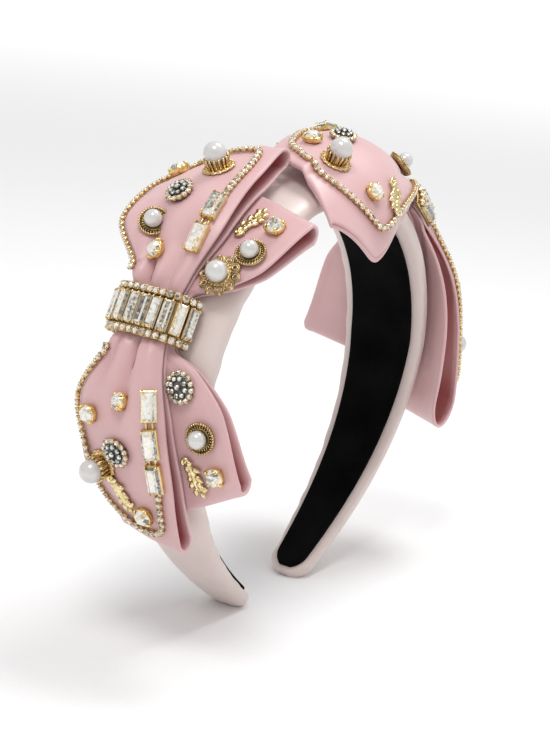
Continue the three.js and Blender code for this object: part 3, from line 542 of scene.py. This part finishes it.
class Loop:
    """One ribbon loop: where its cloth lies, from its stations."""

    def __init__(self, name):
        bow, self.way, self.side, self.straight, self.spread, rows = LOOPS[name]
        self.name = name
        self.top = "_top_" in name
        self.along = BOWS[bow][0]
        self.columns = dict(zip(STATION, np.array(rows, dtype=float).T))
        middle = self.normal(np.array(0.5), np.array(0.5), np.array(0.0))
        outward = self.at(0.5, 0.5, 0.0) - self.at(0.5, 0.5, 1.0)
        self.outward = 1.0 if float(middle @ outward) > 0 else -1.0

    def station(self, key, t):
        """Smooth value of one column, without overshoot between the stations."""
        at, value = self.columns["at"], self.columns[key]
        slope = np.diff(value) / np.diff(at)
        product = slope[:-1] * slope[1:]
        total = np.where(product > 0, slope[:-1] + slope[1:], 1)
        inner = np.where(product > 0, 2 * product / total, 0)
        lean = np.concatenate([slope[:1], inner, slope[-1:]])
        return cubic(at, value, lean, t)

    def opening(self, t, q):
        return self.station("open0", t) * (1 - q) + self.station("open1", t) * q

    def bed(self, t, across):
        """Lowest that a ply lies: on the padding, and for a top loop also on the under loop beside it."""
        pad = PAD_BED - PAD_FALL * np.maximum(0, np.abs(across) - PAD_FLAT) ** PAD_FALL_POWER
        if not self.top:
            return pad
        edge = UNDER_EDGE - UNDER_DRAW * np.minimum(1, t / UNDER_DRAW_REACH)
        lap = 1 - smooth(across * self.side, edge, edge + UNDER_LAP)
        return pad + lap * (UNDER_BED + UNDER_RISE * np.minimum(1, t / UNDER_RISE_REACH))

    def at(self, t, q, drop, past=0.0):
        """t runs from knot to end, q from straight to spread edge, drop from outer to inner ply."""
        t, q = np.asarray(t, dtype=float), np.asarray(q, dtype=float)
        length = self.straight * (1 - q) + self.spread * q
        along = self.along + self.way * (LOOP_ROOT + t * (length - LOOP_ROOT) + past)
        wide = self.station("wide", t)
        start = np.radians(self.station("tilt0", t))
        turn = np.radians(self.station("tilt1", t)) - start
        out = wide * (np.sin(start + turn * q) - np.sin(start)) / turn
        fall = wide * (np.cos(start) - np.cos(start + turn * q)) / turn
        across = self.station("across", t) + self.side * out
        bed = self.bed(t, across)
        outer = np.maximum(self.station("over", t) - fall, bed + PLY_PITCH)
        inner = np.maximum(outer - self.opening(t, q), bed)
        return on_band(along, across, outer + drop * (inner - outer))

    def normal(self, t, q, drop):
        step = 0.01
        down = self.at(t + step, q, drop) - self.at(t - step, q, drop)
        side = self.at(t, q + step, drop) - self.at(t, q - step, drop)
        off = np.cross(down, side)
        return off / np.linalg.norm(off, axis=-1, keepdims=True)

    def puff(self, t, q):
        """Height of the gathers over the plain loop."""
        lift, creases = PUFFS[self.name]
        left = np.ones_like(t + q)
        for q0, q1, w0, w1, depth, reach in creases:
            f = np.clip(t / reach, 0, 1)
            away = np.abs(q - (q0 + (q1 - q0) * f)) / (w0 + (w1 - w0) * f)
            fade = 1 - smooth(t, CREASE_FADE[0] * reach, CREASE_FADE[1] * reach)
            left = left - depth * np.exp(-away**CREASE_POWER) * fade
        rise = smooth(t, *PUFF_RISE) * (1 - smooth(t, *PUFF_FALL))
        edges = smooth(q, 0, EDGE_CALM) * smooth(1 - q, 0, EDGE_CALM)
        wave = np.sin(2 * np.pi * (PLEATS * q + PLEAT_SHIFT * self.along))
        pleats = PLEAT_HEIGHT * wave * (1 - smooth(t, *PLEAT_FADE))
        return (lift * rise * np.maximum(left, PUFF_LOWEST) + pleats) * edges

    def cloth(self, t, q, drop, past=0.0):
        """Middle of the cloth with its gathers."""
        place = self.at(t, q, drop, past)
        height = self.puff(np.asarray(t), np.asarray(q)) * (1 - np.asarray(drop))
        return place + self.outward * self.normal(t, q, drop) * height[..., None]

    def seat(self, t, q, lift=0.0, turn=0.0):
        """Frame on the outer ply, with z off the cloth and x from the knot to the loop's end."""
        step = 0.02
        t, q = np.array(float(t)), np.array(float(q))
        down = self.cloth(t + step, q, 0.0) - self.cloth(t - step, q, 0.0)
        side = self.cloth(t, q + step, 0.0) - self.cloth(t, q - step, 0.0)
        z = self.outward * np.cross(down, side)
        z /= np.linalg.norm(z)
        x = down - (down @ z) * z
        x /= np.linalg.norm(x)
        c, s = math.cos(math.radians(turn)), math.sin(math.radians(turn))
        y = np.cross(z, x)
        place = self.cloth(t, q, 0.0) + z * (CLOTH / 2 + lift)
        return frame_of(c * x + s * y, c * y - s * x, z, place)


def frame_of(x, y, z, place):
    made = np.eye(4)
    made[:3, 0], made[:3, 1], made[:3, 2], made[:3, 3] = x, y, z, place
    return made


def shifted(x=0.0, y=0.0, z=0.0, turn=0.0):
    """Move by (x, y, z) after a turn in degrees about z."""
    c, s = math.cos(math.radians(turn)), math.sin(math.radians(turn))
    return frame_of((c, s, 0), (-s, c, 0), (0, 0, 1), (x, y, z))


# Meshes

class Piece:
    """Points, faces and finishes of one object, gathered from its parts in millimetres."""

    def __init__(self, name):
        self.name = name
        self.points, self.faces, self.looks, self.rounds, self.tones = [], [], [], [], []

    def add(self, shape, look, place=None, rounded=True, tones=None):
        points, faces = shape
        points = np.asarray(points, dtype=float)
        if place is not None:
            points = points @ place[:3, :3].T + place[:3, 3]
        first = len(self.points)
        self.points.extend(points)
        self.faces.extend([[first + k for k in face] for face in faces])
        self.looks.extend([look] * len(faces))
        self.rounds.extend([rounded] * len(faces))
        self.tones.extend(tones if tones is not None else [0.5] * len(faces))

    def build(self, slot, *nodes):
        mesh = bpy.data.meshes.new(self.name)
        mesh.from_pydata((np.array(self.points) * MM).tolist(), [], self.faces)
        used = list(dict.fromkeys(self.looks))
        for look in used:
            mesh.materials.append(LOOKS[look])
        mesh.polygons.foreach_set("material_index", [used.index(look) for look in self.looks])
        mesh.polygons.foreach_set("use_smooth", self.rounds)
        # The tone attribute holds each facet's painted reflection, read by the crystal material.
        mesh.attributes.new("tone", "FLOAT", "FACE").data.foreach_set("value", self.tones)
        return stand_in(self.name, mesh, nodes)


def stand_in(name, mesh, nodes):
    """Object on the root body that stands for CAD nodes."""
    mesh.update()
    made = bpy.data.objects.new(name, mesh)
    bpy.context.collection.objects.link(made)
    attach(made, "root")
    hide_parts(*nodes)
    return made


def skin(rings, capped=True):
    """Faces over rows of closed rings of equal count."""
    rows, n = rings.shape[:2]
    faces = []
    for i in range(rows - 1):
        for k in range(n):
            a, b = i * n + k, i * n + (k + 1) % n
            faces.append((a, b, b + n, a + n))
    if capped:
        faces.append(tuple(range(n))[::-1])
        faces.append(tuple((rows - 1) * n + k for k in range(n)))
    return rings.reshape(-1, 3), faces


def circle(count, radius, level, start=0.0):
    turn = 2 * np.pi * (np.arange(count) + start) / count
    return np.stack([radius * np.cos(turn), radius * np.sin(turn), np.full(count, level)], -1)


def lathe(outline, sides, ripple=None):
    """Turned shape about z from (radius, height) rows. ripple(angle) scales the radius."""
    scale = 1.0 if ripple is None else ripple(2 * np.pi * np.arange(sides) / sides)
    return skin(np.array([circle(sides, radius * scale, level) for radius, level in outline]))


def ball(radius, z=0.0, sides=24, squash=1.0):
    pole = np.pi / 2 - POLE_GAP
    steps = np.linspace(-pole, pole, sides // 2 + 1)
    return lathe([(radius * math.cos(a), z + radius * squash * math.sin(a)) for a in steps], sides)


def wire(path, radius, sides=6, closed=False):
    """Round wire along points; radius may change along it."""
    path = np.asarray(path, dtype=float)
    ahead = np.roll(path, -1, 0) - np.roll(path, 1, 0) if closed else np.gradient(path, axis=0)
    ahead /= np.linalg.norm(ahead, axis=1, keepdims=True)
    hint = np.array((0.0, 0.0, 1.0)) if abs(ahead[:, 2]).max() < 0.95 else np.array((0.31, 0.94, 0.12))
    side = np.cross(ahead, hint)
    side /= np.linalg.norm(side, axis=1, keepdims=True)
    off = np.cross(side, ahead)
    turn = 2 * np.pi * np.arange(sides) / sides
    thick = np.broadcast_to(radius, len(path))[:, None, None]
    spin = np.cos(turn)[None, :, None] * side[:, None] + np.sin(turn)[None, :, None] * off[:, None]
    rings = path[:, None] + thick * spin
    if closed:
        rings = np.concatenate([rings, rings[:1]])
    return skin(rings, capped=not closed)


def hoop(radius, z, thick, count=28, sides=6):
    return wire(circle(count, radius, z), thick, sides, closed=True)


def brilliant(radius, height, z=0.0):
    """Round cut stone with a table, stars, kites and girdle facets over a plain cone."""
    table = circle(8, 0.56 * radius, z + height)
    stars = circle(8, 0.80 * radius, z + 0.66 * height, 0.5)
    girdle = circle(16, radius, z)
    tip = np.array([[0, 0, z - 0.6 * radius]])
    points = np.concatenate([table, stars, girdle, tip])
    faces = [tuple(range(8))]
    for k in range(8):
        n = (k + 1) % 8
        faces.append((k, 8 + k, n))
        faces.append((k, 8 + (k - 1) % 8, 16 + 2 * k, 8 + k))
        faces.append((8 + k, 16 + 2 * k, 16 + 2 * k + 1))
        faces.append((8 + k, 16 + 2 * k + 1, 16 + (2 * k + 2) % 16))
    for k in range(16):
        faces.append((16 + (k + 1) % 16, 16 + k, 32))
    return points, faces


def step_cut(wide, long, high, z=0.0):
    """Long stone with a table and two steps round it, long axis along x."""
    rings = []
    for inset, level in STEP_ROWS:
        x, y = long / 2 - inset * wide, wide / 2 - inset * wide
        rings.append([(sx * x, sy * y, z + level * high) for sx, sy in SQUARE])
    return skin(np.array(rings))


def painted_facet_reflections(faces):
    """Painted reflection of each facet, as a tone: mostly bright, some dark, a few amber."""
    return dice.choice(FACET_REFLECTIONS, len(faces), p=FACET_REFLECTION_SHARES)


def add_stone(piece, shape, place):
    piece.add(shape, "crystal", place, rounded=False, tones=painted_facet_reflections(shape[1]))


def add_round_setting(piece, place, radius, look="cup_gilt", prongs=4):
    """Small round stone in a cup with prongs."""
    cup = (
        (0.55 * radius, 0.0),
        (0.95 * radius, 0.1),
        (1.08 * radius, 0.9 * radius),
        (0.98 * radius, 1.0 * radius),
    )
    piece.add(lathe(cup, 12), look, place)
    add_stone(piece, brilliant(0.98 * radius, 0.55 * radius, 0.9 * radius), place)
    prong = radius * np.array([(1.08, 0, 0.4), (1.1, 0, 1.1), (0.86, 0, 1.42)])
    for k in range(prongs):
        turn = shifted(turn=360 * (k + 0.5) / prongs)
        piece.add(wire(prong, 0.2 * radius, 5), look, place @ turn)


# Band and lining

def ring_stops(reach, rings):
    """Stops along the band, closer together at the tips."""
    f = np.linspace(-1, 1, rings)
    return reach * np.sign(f) * (1 - (1 - np.abs(f)) ** 1.25)


def padded_band():
    reach = HALF_LENGTH + TIP_OVERRUN
    along = ring_stops(reach, BAND_RINGS)[:, None]
    end = np.maximum(0, np.abs(along) - (reach - TIP_ROUND)) / TIP_ROUND
    close = np.sqrt(np.maximum(0.06, 1 - end**2))
    half = (band_size(along, BAND_HALF) + PAD_BULGE) * close
    thick = band_size(along, BAND_THICK) * (TIP_THICK + (1 - TIP_THICK) * close)
    turn = 2 * np.pi * (np.arange(BAND_SIDES) + 0.5)[None, :] / BAND_SIDES
    c, s = np.cos(turn), np.sin(turn)
    across = half * np.sign(c) * np.abs(c) ** SIDE_POWER
    rise = np.where(s > 0, BAND_CROWN * np.abs(s) ** CROWN_POWER, -BAND_SOLE * np.abs(s) ** SOLE_POWER)
    pull = np.exp(-(((rise - PUCKER_LINE) / PUCKER_BAND) ** 2)) * np.minimum(1, np.abs(across) / 6)
    pucker = np.sin(along / 1.9 + 2 * np.sin(along / 13)) * np.sin(along / 7.3 + 1) * np.sign(c)
    across = across + np.sign(c) * PUCKER * pull * pucker
    over = LINING_THICK + PIECE_GAP + thick * (BAND_SOLE + rise)
    rings = on_band(along, across, over)
    floor = cad_box[0][2] / MM
    rings[..., 2] = np.maximum(rings[..., 2], floor)
    piece = Piece("band_satin_cover")
    piece.add(skin(rings), "band_satin")
    made = piece.build("band_satin", "padded_band")
    lay_weave(made.data, rings)


def velvet_lining():
    along = ring_stops(HALF_LENGTH - 0.6, BAND_RINGS)[:, None]
    end = np.maximum(0, np.abs(along) - (HALF_LENGTH - TIP_ROUND)) / TIP_ROUND
    half = band_size(along, VELVET_HALF) * np.sqrt(np.maximum(0.1, 1 - end**2))
    section = np.array(VELVET_SECTION)
    rings = on_band(along, half * section[None, :, 0], LINING_THICK * section[None, :, 1])
    piece = Piece("velvet_facing")
    piece.add(skin(rings), "velvet")
    made = piece.build("velvet", "velvet_lining")


# Bows

def ribbon_sheet(loop):
    """Rows of cloth points from the knot over the outer ply, round the end and back, and their (t, q)."""
    rows = [(t, 0.0, 0.0) for t in np.linspace(0, 1, OUTER_ROWS)]
    turns = np.linspace(0, np.pi, FOLD_ROWS + 2)[1:-1]
    rows += [(1.0, (1 - math.cos(a)) / 2, math.sin(a) / 2) for a in turns]
    rows += [(t, 1.0, 0.0) for t in np.linspace(1, 0, INNER_ROWS)]
    t, drop, bulge = (np.array(column)[:, None] for column in zip(*rows))
    edge = np.array(EDGE_STOPS)[None, :] / loop.station("wide", t)
    first = edge[:, -1:]
    middle = first + (1 - 2 * first) * np.linspace(0, 1, CROSS_COLUMNS)[None, :]
    q = np.concatenate([edge[:, :-1], middle, 1 - edge[:, -2::-1]], axis=1)
    t = np.broadcast_to(t, q.shape)
    return loop.cloth(t, q, np.broadcast_to(drop, q.shape), bulge * loop.opening(t, q)), t, q


def ribbon_loop(name):
    loop = Loop(name)
    sheet, t, q = ribbon_sheet(loop)
    off = np.cross(np.gradient(sheet, axis=0), np.gradient(sheet, axis=1))
    off *= loop.outward / np.linalg.norm(off, axis=-1, keepdims=True)
    from_edge = np.minimum(q, 1 - q) * loop.station("wide", t)
    round_edge = np.sqrt(1 - (1 - np.clip(from_edge / EDGE_STOPS[-1], 0, 1)) ** 2)
    hem = 0.12 * (1 - smooth(from_edge, 2.2, 2.8))
    wall = (CLOTH / 2 + hem) * round_edge
    outside = sheet + off * wall[..., None]
    inside = sheet - off * wall[..., None]
    rings = np.concatenate([outside, inside[:, -2:0:-1]], axis=1)
    points, faces = skin(rings)
    piece = Piece(f"{name}_ribbon")
    piece.add((points, faces), "bow_satin")
    made = piece.build("bow_satin", f"{name}_loop")
    # Painted shade inside the loop: the inner ply darkens away from its edges and from the knot; the outer
    # ply gets none.
    depth = smooth(from_edge, 0.3, 4) * smooth(t, 0, 0.1)
    painted_inner_shade = np.concatenate([np.zeros(q.shape), depth[:, -2:0:-1]], axis=1)
    made.data.attributes.new("painted_inner_shade", "FLOAT", "POINT").data.foreach_set("value", painted_inner_shade.ravel())
    lay_weave(made.data, rings)
    return loop


def lay_weave(mesh, rings):
    """Cloth coordinates in metres along and round the ribbon, for its warp."""
    down = np.linalg.norm(np.diff(rings, axis=0), axis=-1).mean(axis=1)
    round_it = np.linalg.norm(np.diff(rings, axis=1), axis=-1).mean(axis=0)
    u = np.concatenate([[0], np.cumsum(down)])[:, None] * MM
    v = np.concatenate([[0], np.cumsum(round_it)])[None, :] * MM
    flat = np.stack(np.broadcast_arrays(u, v), axis=-1).reshape(-1, 2)
    corners = np.zeros(len(mesh.loops), dtype=int)
    mesh.loops.foreach_get("vertex_index", corners)
    mesh.uv_layers.new(name="weave").data.foreach_set("uv", flat[corners].ravel())


def knot_seat(bow, f, lift):
    """Frame on a knot's arch at f from front to back: x along the band, z off the arch."""
    along, across = BOWS[bow]

    def arch(g):
        over = KNOT["foot"] + (KNOT["crown"] - KNOT["foot"]) * math.sqrt(max(0, 1 - abs(g) ** 4))
        return on_band(along, across + KNOT["half"] * g, over)

    lean = arch(f + 0.01) - arch(f - 0.01)
    lean /= np.linalg.norm(lean)
    x = on_band(along + 0.1, 0.0, 20.0) - on_band(along - 0.1, 0.0, 20.0)
    x /= np.linalg.norm(x)
    z = np.cross(x, lean)
    return frame_of(x, lean, z, arch(f) + lift * z)


def knot_fan(count):
    """Places along the arch, closer together at its feet."""
    return np.sin(np.linspace(-np.pi / 2, np.pi / 2, count)) * KNOT_REACH


def knot_stops(bow, count):
    """Places at an even pitch along the arch."""
    fine = knot_fan(241)
    line = np.array([knot_seat(bow, f, KNOT["base"])[:3, 3] for f in fine])
    reach = np.concatenate([[0], np.cumsum(np.linalg.norm(np.diff(line, axis=0), axis=1))])
    return np.interp(reach[-1] * (np.arange(count) + 0.5) / count, reach, fine)


def knot(bow):
    piece = Piece(f"{bow}_knot_stones")
    half = KNOT["along"] / 2
    top = half - KNOT["bevel"]
    section = (
        (-half, KNOT["under"]),
        (half, KNOT["under"]),
        (half, KNOT["rim"]),
        (top, KNOT["base"]),
        (-top, KNOT["base"]),
        (-half, KNOT["rim"]),
    )
    rings = []
    for f in knot_fan(41):
        place = knot_seat(bow, f, 0.0)
        rings.append([place[:3, 3] + a * place[:3, 0] + b * place[:3, 2] for a, b in section])
    piece.add(skin(np.array(rings)), "old_gilt")
    for f in knot_stops(bow, KNOT_STONES):
        add_long_setting(piece, knot_seat(bow, f, KNOT["base"] - 0.1), **KNOT_STONE, look="cup_gilt")
    for f in knot_stops(bow, KNOT_ROW_STONES):
        for row in (-1, 1):
            place = knot_seat(bow, f, KNOT["base"]) @ shifted(x=row * (half - 1.2))
            add_round_setting(piece, place, KNOT_ROW_STONE)
    return piece.build("crystal", f"{bow}_knot")


def add_long_setting(piece, place, wide, long, high, look="gilt"):
    """Step-cut stone in a low box with claws at its corners."""
    x, y = long / 2, wide / 2
    box = []
    for out, z in ((0.0, 0.0), (0.22, 0.15), (0.22, 0.42 * high), (0.0, 0.46 * high)):
        box.append([(sx * (x + out), sy * (y + out), z) for sx, sy in SQUARE])
    piece.add(skin(np.array(box)), look, place, rounded=False)
    add_stone(piece, step_cut(wide, long, 0.62 * high, 0.38 * high), place)
    for sx, sy in SQUARE:
        claw = (
            (sx * (x + 0.15), sy * (y - 0.4), 0.2),
            (sx * (x + 0.2), sy * (y - 0.4), 0.72 * high),
            (sx * (x - 0.55), sy * (y - 0.55), 0.95 * high),
        )
        piece.add(wire(claw, 0.3, 6), look, place)


def stone_row(name, loop):
    q, stops = STONE_ROWS[name]
    piece = Piece(f"{name}_long_stones")
    seats = [loop.seat(t, q) for t in stops]
    for seat in seats:
        add_long_setting(piece, seat, **ROW_STONE)
    for a, b in zip(seats, seats[1:]):
        ends = [a[:3, 3] + 0.8 * a[:3, 2], b[:3, 3] + 0.8 * b[:3, 2]]
        for shift in (-1.0, 1.0):
            piece.add(wire([p + shift * a[:3, 1] for p in ends], 0.42, 6), "gilt")
    return piece.build("crystal", f"{name}_stones")


def cup_chain(name, loop):
    """Small set stones at an even pitch along the route, linked by short bars."""
    route = np.array(CHAINS[name])
    knots = np.concatenate([[0], np.cumsum(np.linalg.norm(np.diff(route, axis=0), axis=1) ** 0.5)])
    fine = np.linspace(0, knots[-1], 400)
    guide = np.stack([curve_through(knots, route[:, k], fine) for k in (0, 1)], axis=-1)
    path = loop.cloth(guide[:, 0], guide[:, 1], np.zeros(len(guide)))
    reach = np.concatenate([[0], np.cumsum(np.linalg.norm(np.diff(path, axis=0), axis=1))])
    count = int(reach[-1] / CHAIN_PITCH)
    piece = Piece(f"{name}_cup_chain")
    seats = []
    for stop in np.linspace(0, reach[-1], count + 1):
        t, q = (np.interp(stop, reach, guide[:, k]) for k in (0, 1))
        seats.append(loop.seat(t, q, 0.25))
    for i, seat in enumerate(seats):
        ahead = seats[min(i + 1, count)][:3, 3] - seats[max(i - 1, 0)][:3, 3]
        bearing = math.degrees(math.atan2(ahead @ seat[:3, 1], ahead @ seat[:3, 0]))
        add_round_setting(piece, seat @ shifted(turn=bearing), CHAIN_STONE)
    bars = [seat[:3, 3] + 0.3 * seat[:3, 2] for seat in seats]
    piece.add(wire(bars, 0.36, 6), "cup_gilt")
    return piece.build("gilt", f"{name}_chain")


def curve_through(knots, values, places):
    """Smooth curve through values at knots, by cubic pieces with Catmull-Rom leans."""
    return cubic(knots, values, np.gradient(values, knots), places)


# Charms

def crystal_charm(piece, place):
    """Brilliant in a deep cup with four claws."""
    cup = [(1.6, 0.0), (2.5, 0.1), (2.95, 0.9), (3.1, 2.0), (2.95, 2.25), (2.7, 2.2)]
    piece.add(lathe(cup, 28), "gilt", place)
    add_stone(piece, brilliant(2.85, 1.5, 2.2), place)
    for k in range(4):
        claw = [(2.95, 0, 0.6), (3.2, 0, 1.8), (3.0, 0, 2.7), (2.25, 0, 3.15)]
        piece.add(wire(claw, (0.45, 0.45, 0.42, 0.3), 7), "gilt", place @ shifted(turn=45 + 90 * k))


def rim_pearl_charm(piece, place):
    """Pearl in a dish with a roped rim and a ticked inner ring."""
    dish = (
        (2.0, 0.0), (4.3, 0.1), (4.8, 0.7), (4.9, 1.5),
        (4.6, 1.8), (4.35, 1.5), (4.2, 1.15), (2.4, 1.0),
    )
    strand = ((-0.42, 0, -0.12), (0, 0, 0.14), (0.42, 0, -0.12))
    piece.add(lathe(dish, 44), "old_gilt", place)
    for k in range(34):
        rope = shifted(turn=360 * k / 34) @ shifted(x=4.62, z=1.72, turn=35)
        piece.add(wire(strand, 0.27, 5), "cup_gilt", place @ rope)
    for k in range(26):
        tick = shifted(turn=360 * k / 26)
        piece.add(wire([(3.15, 0, 1.3), (4.05, 0, 1.3)], 0.2, 5), "cup_gilt", place @ tick)
    piece.add(hoop(3.05, 1.35, 0.22), "old_gilt", place)
    piece.add(ball(2.85, 3.2, 32), "pearl", place)


def crown_pearl_charm(piece, place):
    """Pearl held up by a crown of fins on a lacy foot."""
    foot = [(1.5, 0.0), (5.0, 0.1), (5.3, 0.45), (4.9, 0.8), (3.4, 0.95)]
    piece.add(lathe(foot, 60, lambda turn: 1 + 0.05 * np.cos(15 * turn)), "cup_gilt", place)
    for k in range(15):
        piece.add(ball(0.42, 0.0, 8), "gilt", place @ shifted(turn=24 * k) @ shifted(x=4.75, z=0.85))
    piece.add(lathe([(3.2, 0.6), (3.0, 1.0), (3.3, 3.6), (3.1, 3.8), (2.4, 3.6)], 30), "old_gilt", place)
    for k in range(16):
        fin = [(3.35, 0, 0.8), (3.55, 0, 2.2), (4.0, 0, 3.7), (3.8, 0, 4.25)]
        piece.add(wire(fin, (0.36, 0.42, 0.46, 0.3), 6), "cup_gilt", place @ shifted(turn=22.5 * k))
    piece.add(ball(3.75, 5.3, 36), "pearl", place)


def pave_charm(piece, place):
    """Dark oval dome set with small stones inside a ring of clear ones."""
    oval = np.diag((1.0, PAVE_OVAL, 1.0, 1.0))
    dome = [(3.0, 0.0), (4.7, 0.1), (5.0, 0.7), (4.7, 1.1), (4.0, 1.5), (3.0, 1.9), (1.5, 2.2), (0.2, 2.3)]
    piece.add(lathe(dome, 40), "dark_metal", place @ oval)
    for count, radius, level, size in PAVE_ROWS:
        for k in range(count):
            turn = 2 * math.pi * k / count
            seat = shifted(radius * math.cos(turn), PAVE_OVAL * radius * math.sin(turn), level)
            look = "cup_gilt" if radius == PAVE_ROWS[0][1] else "dark_metal"
            add_round_setting(piece, place @ seat, size, look)


def leaf_charm(piece, place):
    """Scrolled leaf: fronds fanning from a curling spine, with a volute at its foot."""
    def spine(u):
        return np.array((11.0 * u - 5.0, 1.5 * math.sin(2 * math.pi * (0.9 * u + 0.05)), 0.0))

    flat = np.diag((1.0, 1.0, 0.75, 1.0))
    line = np.array([spine(u) for u in np.linspace(0, 1, 21)])
    thick = 1.25 * np.sin(np.linspace(0.5, 2.9, 21))
    piece.add(wire(line + (0, 0, 0.9), thick, 10), "pale_gilt", place @ flat)
    for i in range(LEAF_FRONDS):
        u = 0.1 + 0.8 * i / (LEAF_FRONDS - 1)
        ahead = spine(u + 0.02) - spine(u - 0.02)
        heading = math.atan2(ahead[1], ahead[0])
        for side, long in ((1, 3.6), (-1, 2.9)):
            reach = long * math.sin(math.pi * (0.15 + 0.7 * u))
            steps = np.linspace(0, 1, 9)
            bearing = heading + side * (1.15 - 0.75 * steps)
            run = np.stack([np.cos(bearing), np.sin(bearing), np.zeros(9)], axis=-1) * reach / 8
            path = spine(u) + np.cumsum(run, axis=0) + (0, 0, 0.95)
            path[:, 2] += 0.55 * np.sin(np.pi * steps)
            thick = 0.25 + 0.72 * np.sin(np.pi * steps**0.75)
            piece.add(wire(path, thick, 8), "pale_gilt", place @ flat)
    curl = np.linspace(0, 2.3 * np.pi, 30)
    swirl = 1.45 * (1 - curl / 9)
    foot = spine(0.02)
    x, y = foot[0] - swirl * np.sin(curl), foot[1] + 1.4 - swirl * np.cos(curl)
    path = np.stack([x, y, np.full(30, 1.0)], axis=-1)
    piece.add(wire(path, np.linspace(0.6, 0.36, 30), 8), "pale_gilt", place)
    piece.add(ball(0.5, 1.2, 12), "pale_gilt", place @ shifted(x=foot[0], y=foot[1] + 1.4))


def flower_charm(piece, place):
    """Pierced filigree flower with looped petals round a pearl."""
    petals = 10
    piece.add(lathe([(2.0, 0.2), (3.9, 0.2), (4.1, 0.9), (3.9, 1.5), (3.3, 1.7)], 40), "old_gilt", place)
    for k in range(petals):
        petal = place @ shifted(turn=360 * k / petals)
        piece.add(hoop(1.42, 0.0, 0.42, 18, 7), "old_gilt", petal @ shifted(x=5.1, z=0.85))
        piece.add(hoop(0.8, 0.0, 0.24, 12, 6), "cup_gilt", petal @ shifted(x=5.2, z=1.05))
        piece.add(ball(0.5, 0.0, 10), "cup_gilt", petal @ shifted(x=6.55, z=1.0))
        piece.add(ball(0.42, 0.0, 8), "old_gilt", petal @ shifted(turn=18) @ shifted(x=4.3, z=1.25))
    for k in range(20):
        bead = place @ shifted(turn=18 * k) @ shifted(x=3.75, z=1.75)
        piece.add(ball(0.4, 0.0, 8), "cup_gilt", bead)
    piece.add(ball(3.4, 3.7, 36), "pearl", place)


CHARM_MAKERS = {
    "crystal": crystal_charm,
    "rim_pearl": rim_pearl_charm,
    "crown_pearl": crown_pearl_charm,
    "pave": pave_charm,
    "leaf": leaf_charm,
    "flower": flower_charm,
}


def charms(loops):
    counts = {}
    for name, kind, t, q, turn in CHARMS:
        stem = f"{name}_{kind}"
        counts[stem] = counts.get(stem, 0) + 1
        node_name = f"{stem}_{counts[stem]}" if counts[stem] > 1 else stem
        piece = Piece(f"{node_name}_charm")
        CHARM_MAKERS[kind](piece, loops[name].seat(t, q, turn=turn))
        piece.build(CHARM_SLOTS[kind], node_name)


# Stage

def camera():
    a, e, r = (math.radians(x) for x in (VIEW_AZIMUTH, VIEW_ELEVATION, VIEW_ROLL))
    back = np.array((-math.sin(a) * math.cos(e), -math.cos(a) * math.cos(e), math.sin(e)))
    level = np.array((math.cos(a), -math.sin(a), 0.0))
    rise = np.cross(back, level)
    right = math.cos(r) * level + math.sin(r) * rise
    up = math.cos(r) * rise - math.sin(r) * level
    place = VIEW_DISTANCE * back - VIEW_AIM[0] * right - VIEW_AIM[1] * up + (0, 0, CROWN_RISE)
    lens = bpy.data.cameras.new("camera")
    lens.sensor_width = SENSOR
    lens.lens = FOCAL_PIXELS / FRAME_HEIGHT * SENSOR
    lens.clip_start = 0.01
    made = bpy.data.objects.new("camera", lens)
    bpy.context.collection.objects.link(made)
    made.matrix_world = Matrix(frame_of(right, up, back, place * MM).tolist())
    bpy.context.scene.camera = made


def area_light(name, place, energy, size):
    lamp = bpy.data.lights.new(name, "AREA")
    lamp.energy = energy
    lamp.size = size
    made = bpy.data.objects.new(name, lamp)
    bpy.context.collection.objects.link(made)
    away = np.array(place) - LAMP_AIM
    z = away / np.linalg.norm(away)
    x = np.cross((0, 0, 1), z)
    x /= np.linalg.norm(x)
    made.matrix_world = Matrix(frame_of(x, np.cross(z, x), z, place).tolist())


def studio():
    world = bpy.data.worlds.new("studio")
    world.use_nodes = True
    sky = world.node_tree.nodes["Background"]
    sky.inputs["Color"].default_value = (1, 1, 1, 1)
    sky.inputs["Strength"].default_value = WORLD_STRENGTH
    bpy.context.scene.world = world
    for name, (place, energy, size) in LAMPS.items():
        area_light(name, place, energy, size)
    floor_mesh = bpy.data.meshes.new("floor")
    corners = [(FLOOR_REACH * x, FLOOR_REACH * y, cad_box[0][2]) for x, y in SQUARE]
    floor_mesh.from_pydata(corners, [], [(0, 1, 2, 3)])
    material, tree, shader = new_material("floor_paper", Roughness=0.9)
    place = tree.nodes.new("ShaderNodeTexCoord")
    fibre = noise(tree, place.outputs["Object"], 900.0, 2.0)
    tree.links.new(ramp(tree, fibre, ((0.3, grey(0.90)), (0.7, grey(0.92)))), shader.inputs["Base Color"])
    far = node(tree, "ShaderNodeVectorMath", operation="LENGTH")
    tree.links.new(place.outputs["Object"], far.inputs["Vector"])
    sweep = node(tree, "ShaderNodeMapRange", interpolation_type="SMOOTHSTEP")
    tree.links.new(far.outputs["Value"], sweep.inputs["Value"])
    sweep.inputs["From Min"].default_value = FLOOR_GLOW_START
    sweep.inputs["From Max"].default_value = FLOOR_GLOW_END
    sweep.inputs["To Max"].default_value = FLOOR_GLOW
    tree.links.new(sweep.outputs["Result"], shader.inputs["Emission Strength"])
    shader.inputs["Emission Color"].default_value = (1, 1, 1, 1)
    floor_mesh.materials.append(material)
    floor = bpy.data.objects.new("floor", floor_mesh)
    bpy.context.collection.objects.link(floor)
    bpy.context.scene.view_settings.view_transform = "Standard"


camera()
padded_band()
velvet_lining()
loops = {name: ribbon_loop(name) for name in LOOPS}
for bow in BOWS:
    knot(bow)
for name in CHAINS:
    cup_chain(name, loops[name])
    stone_row(name, loops[name])
charms(loops)
studio()
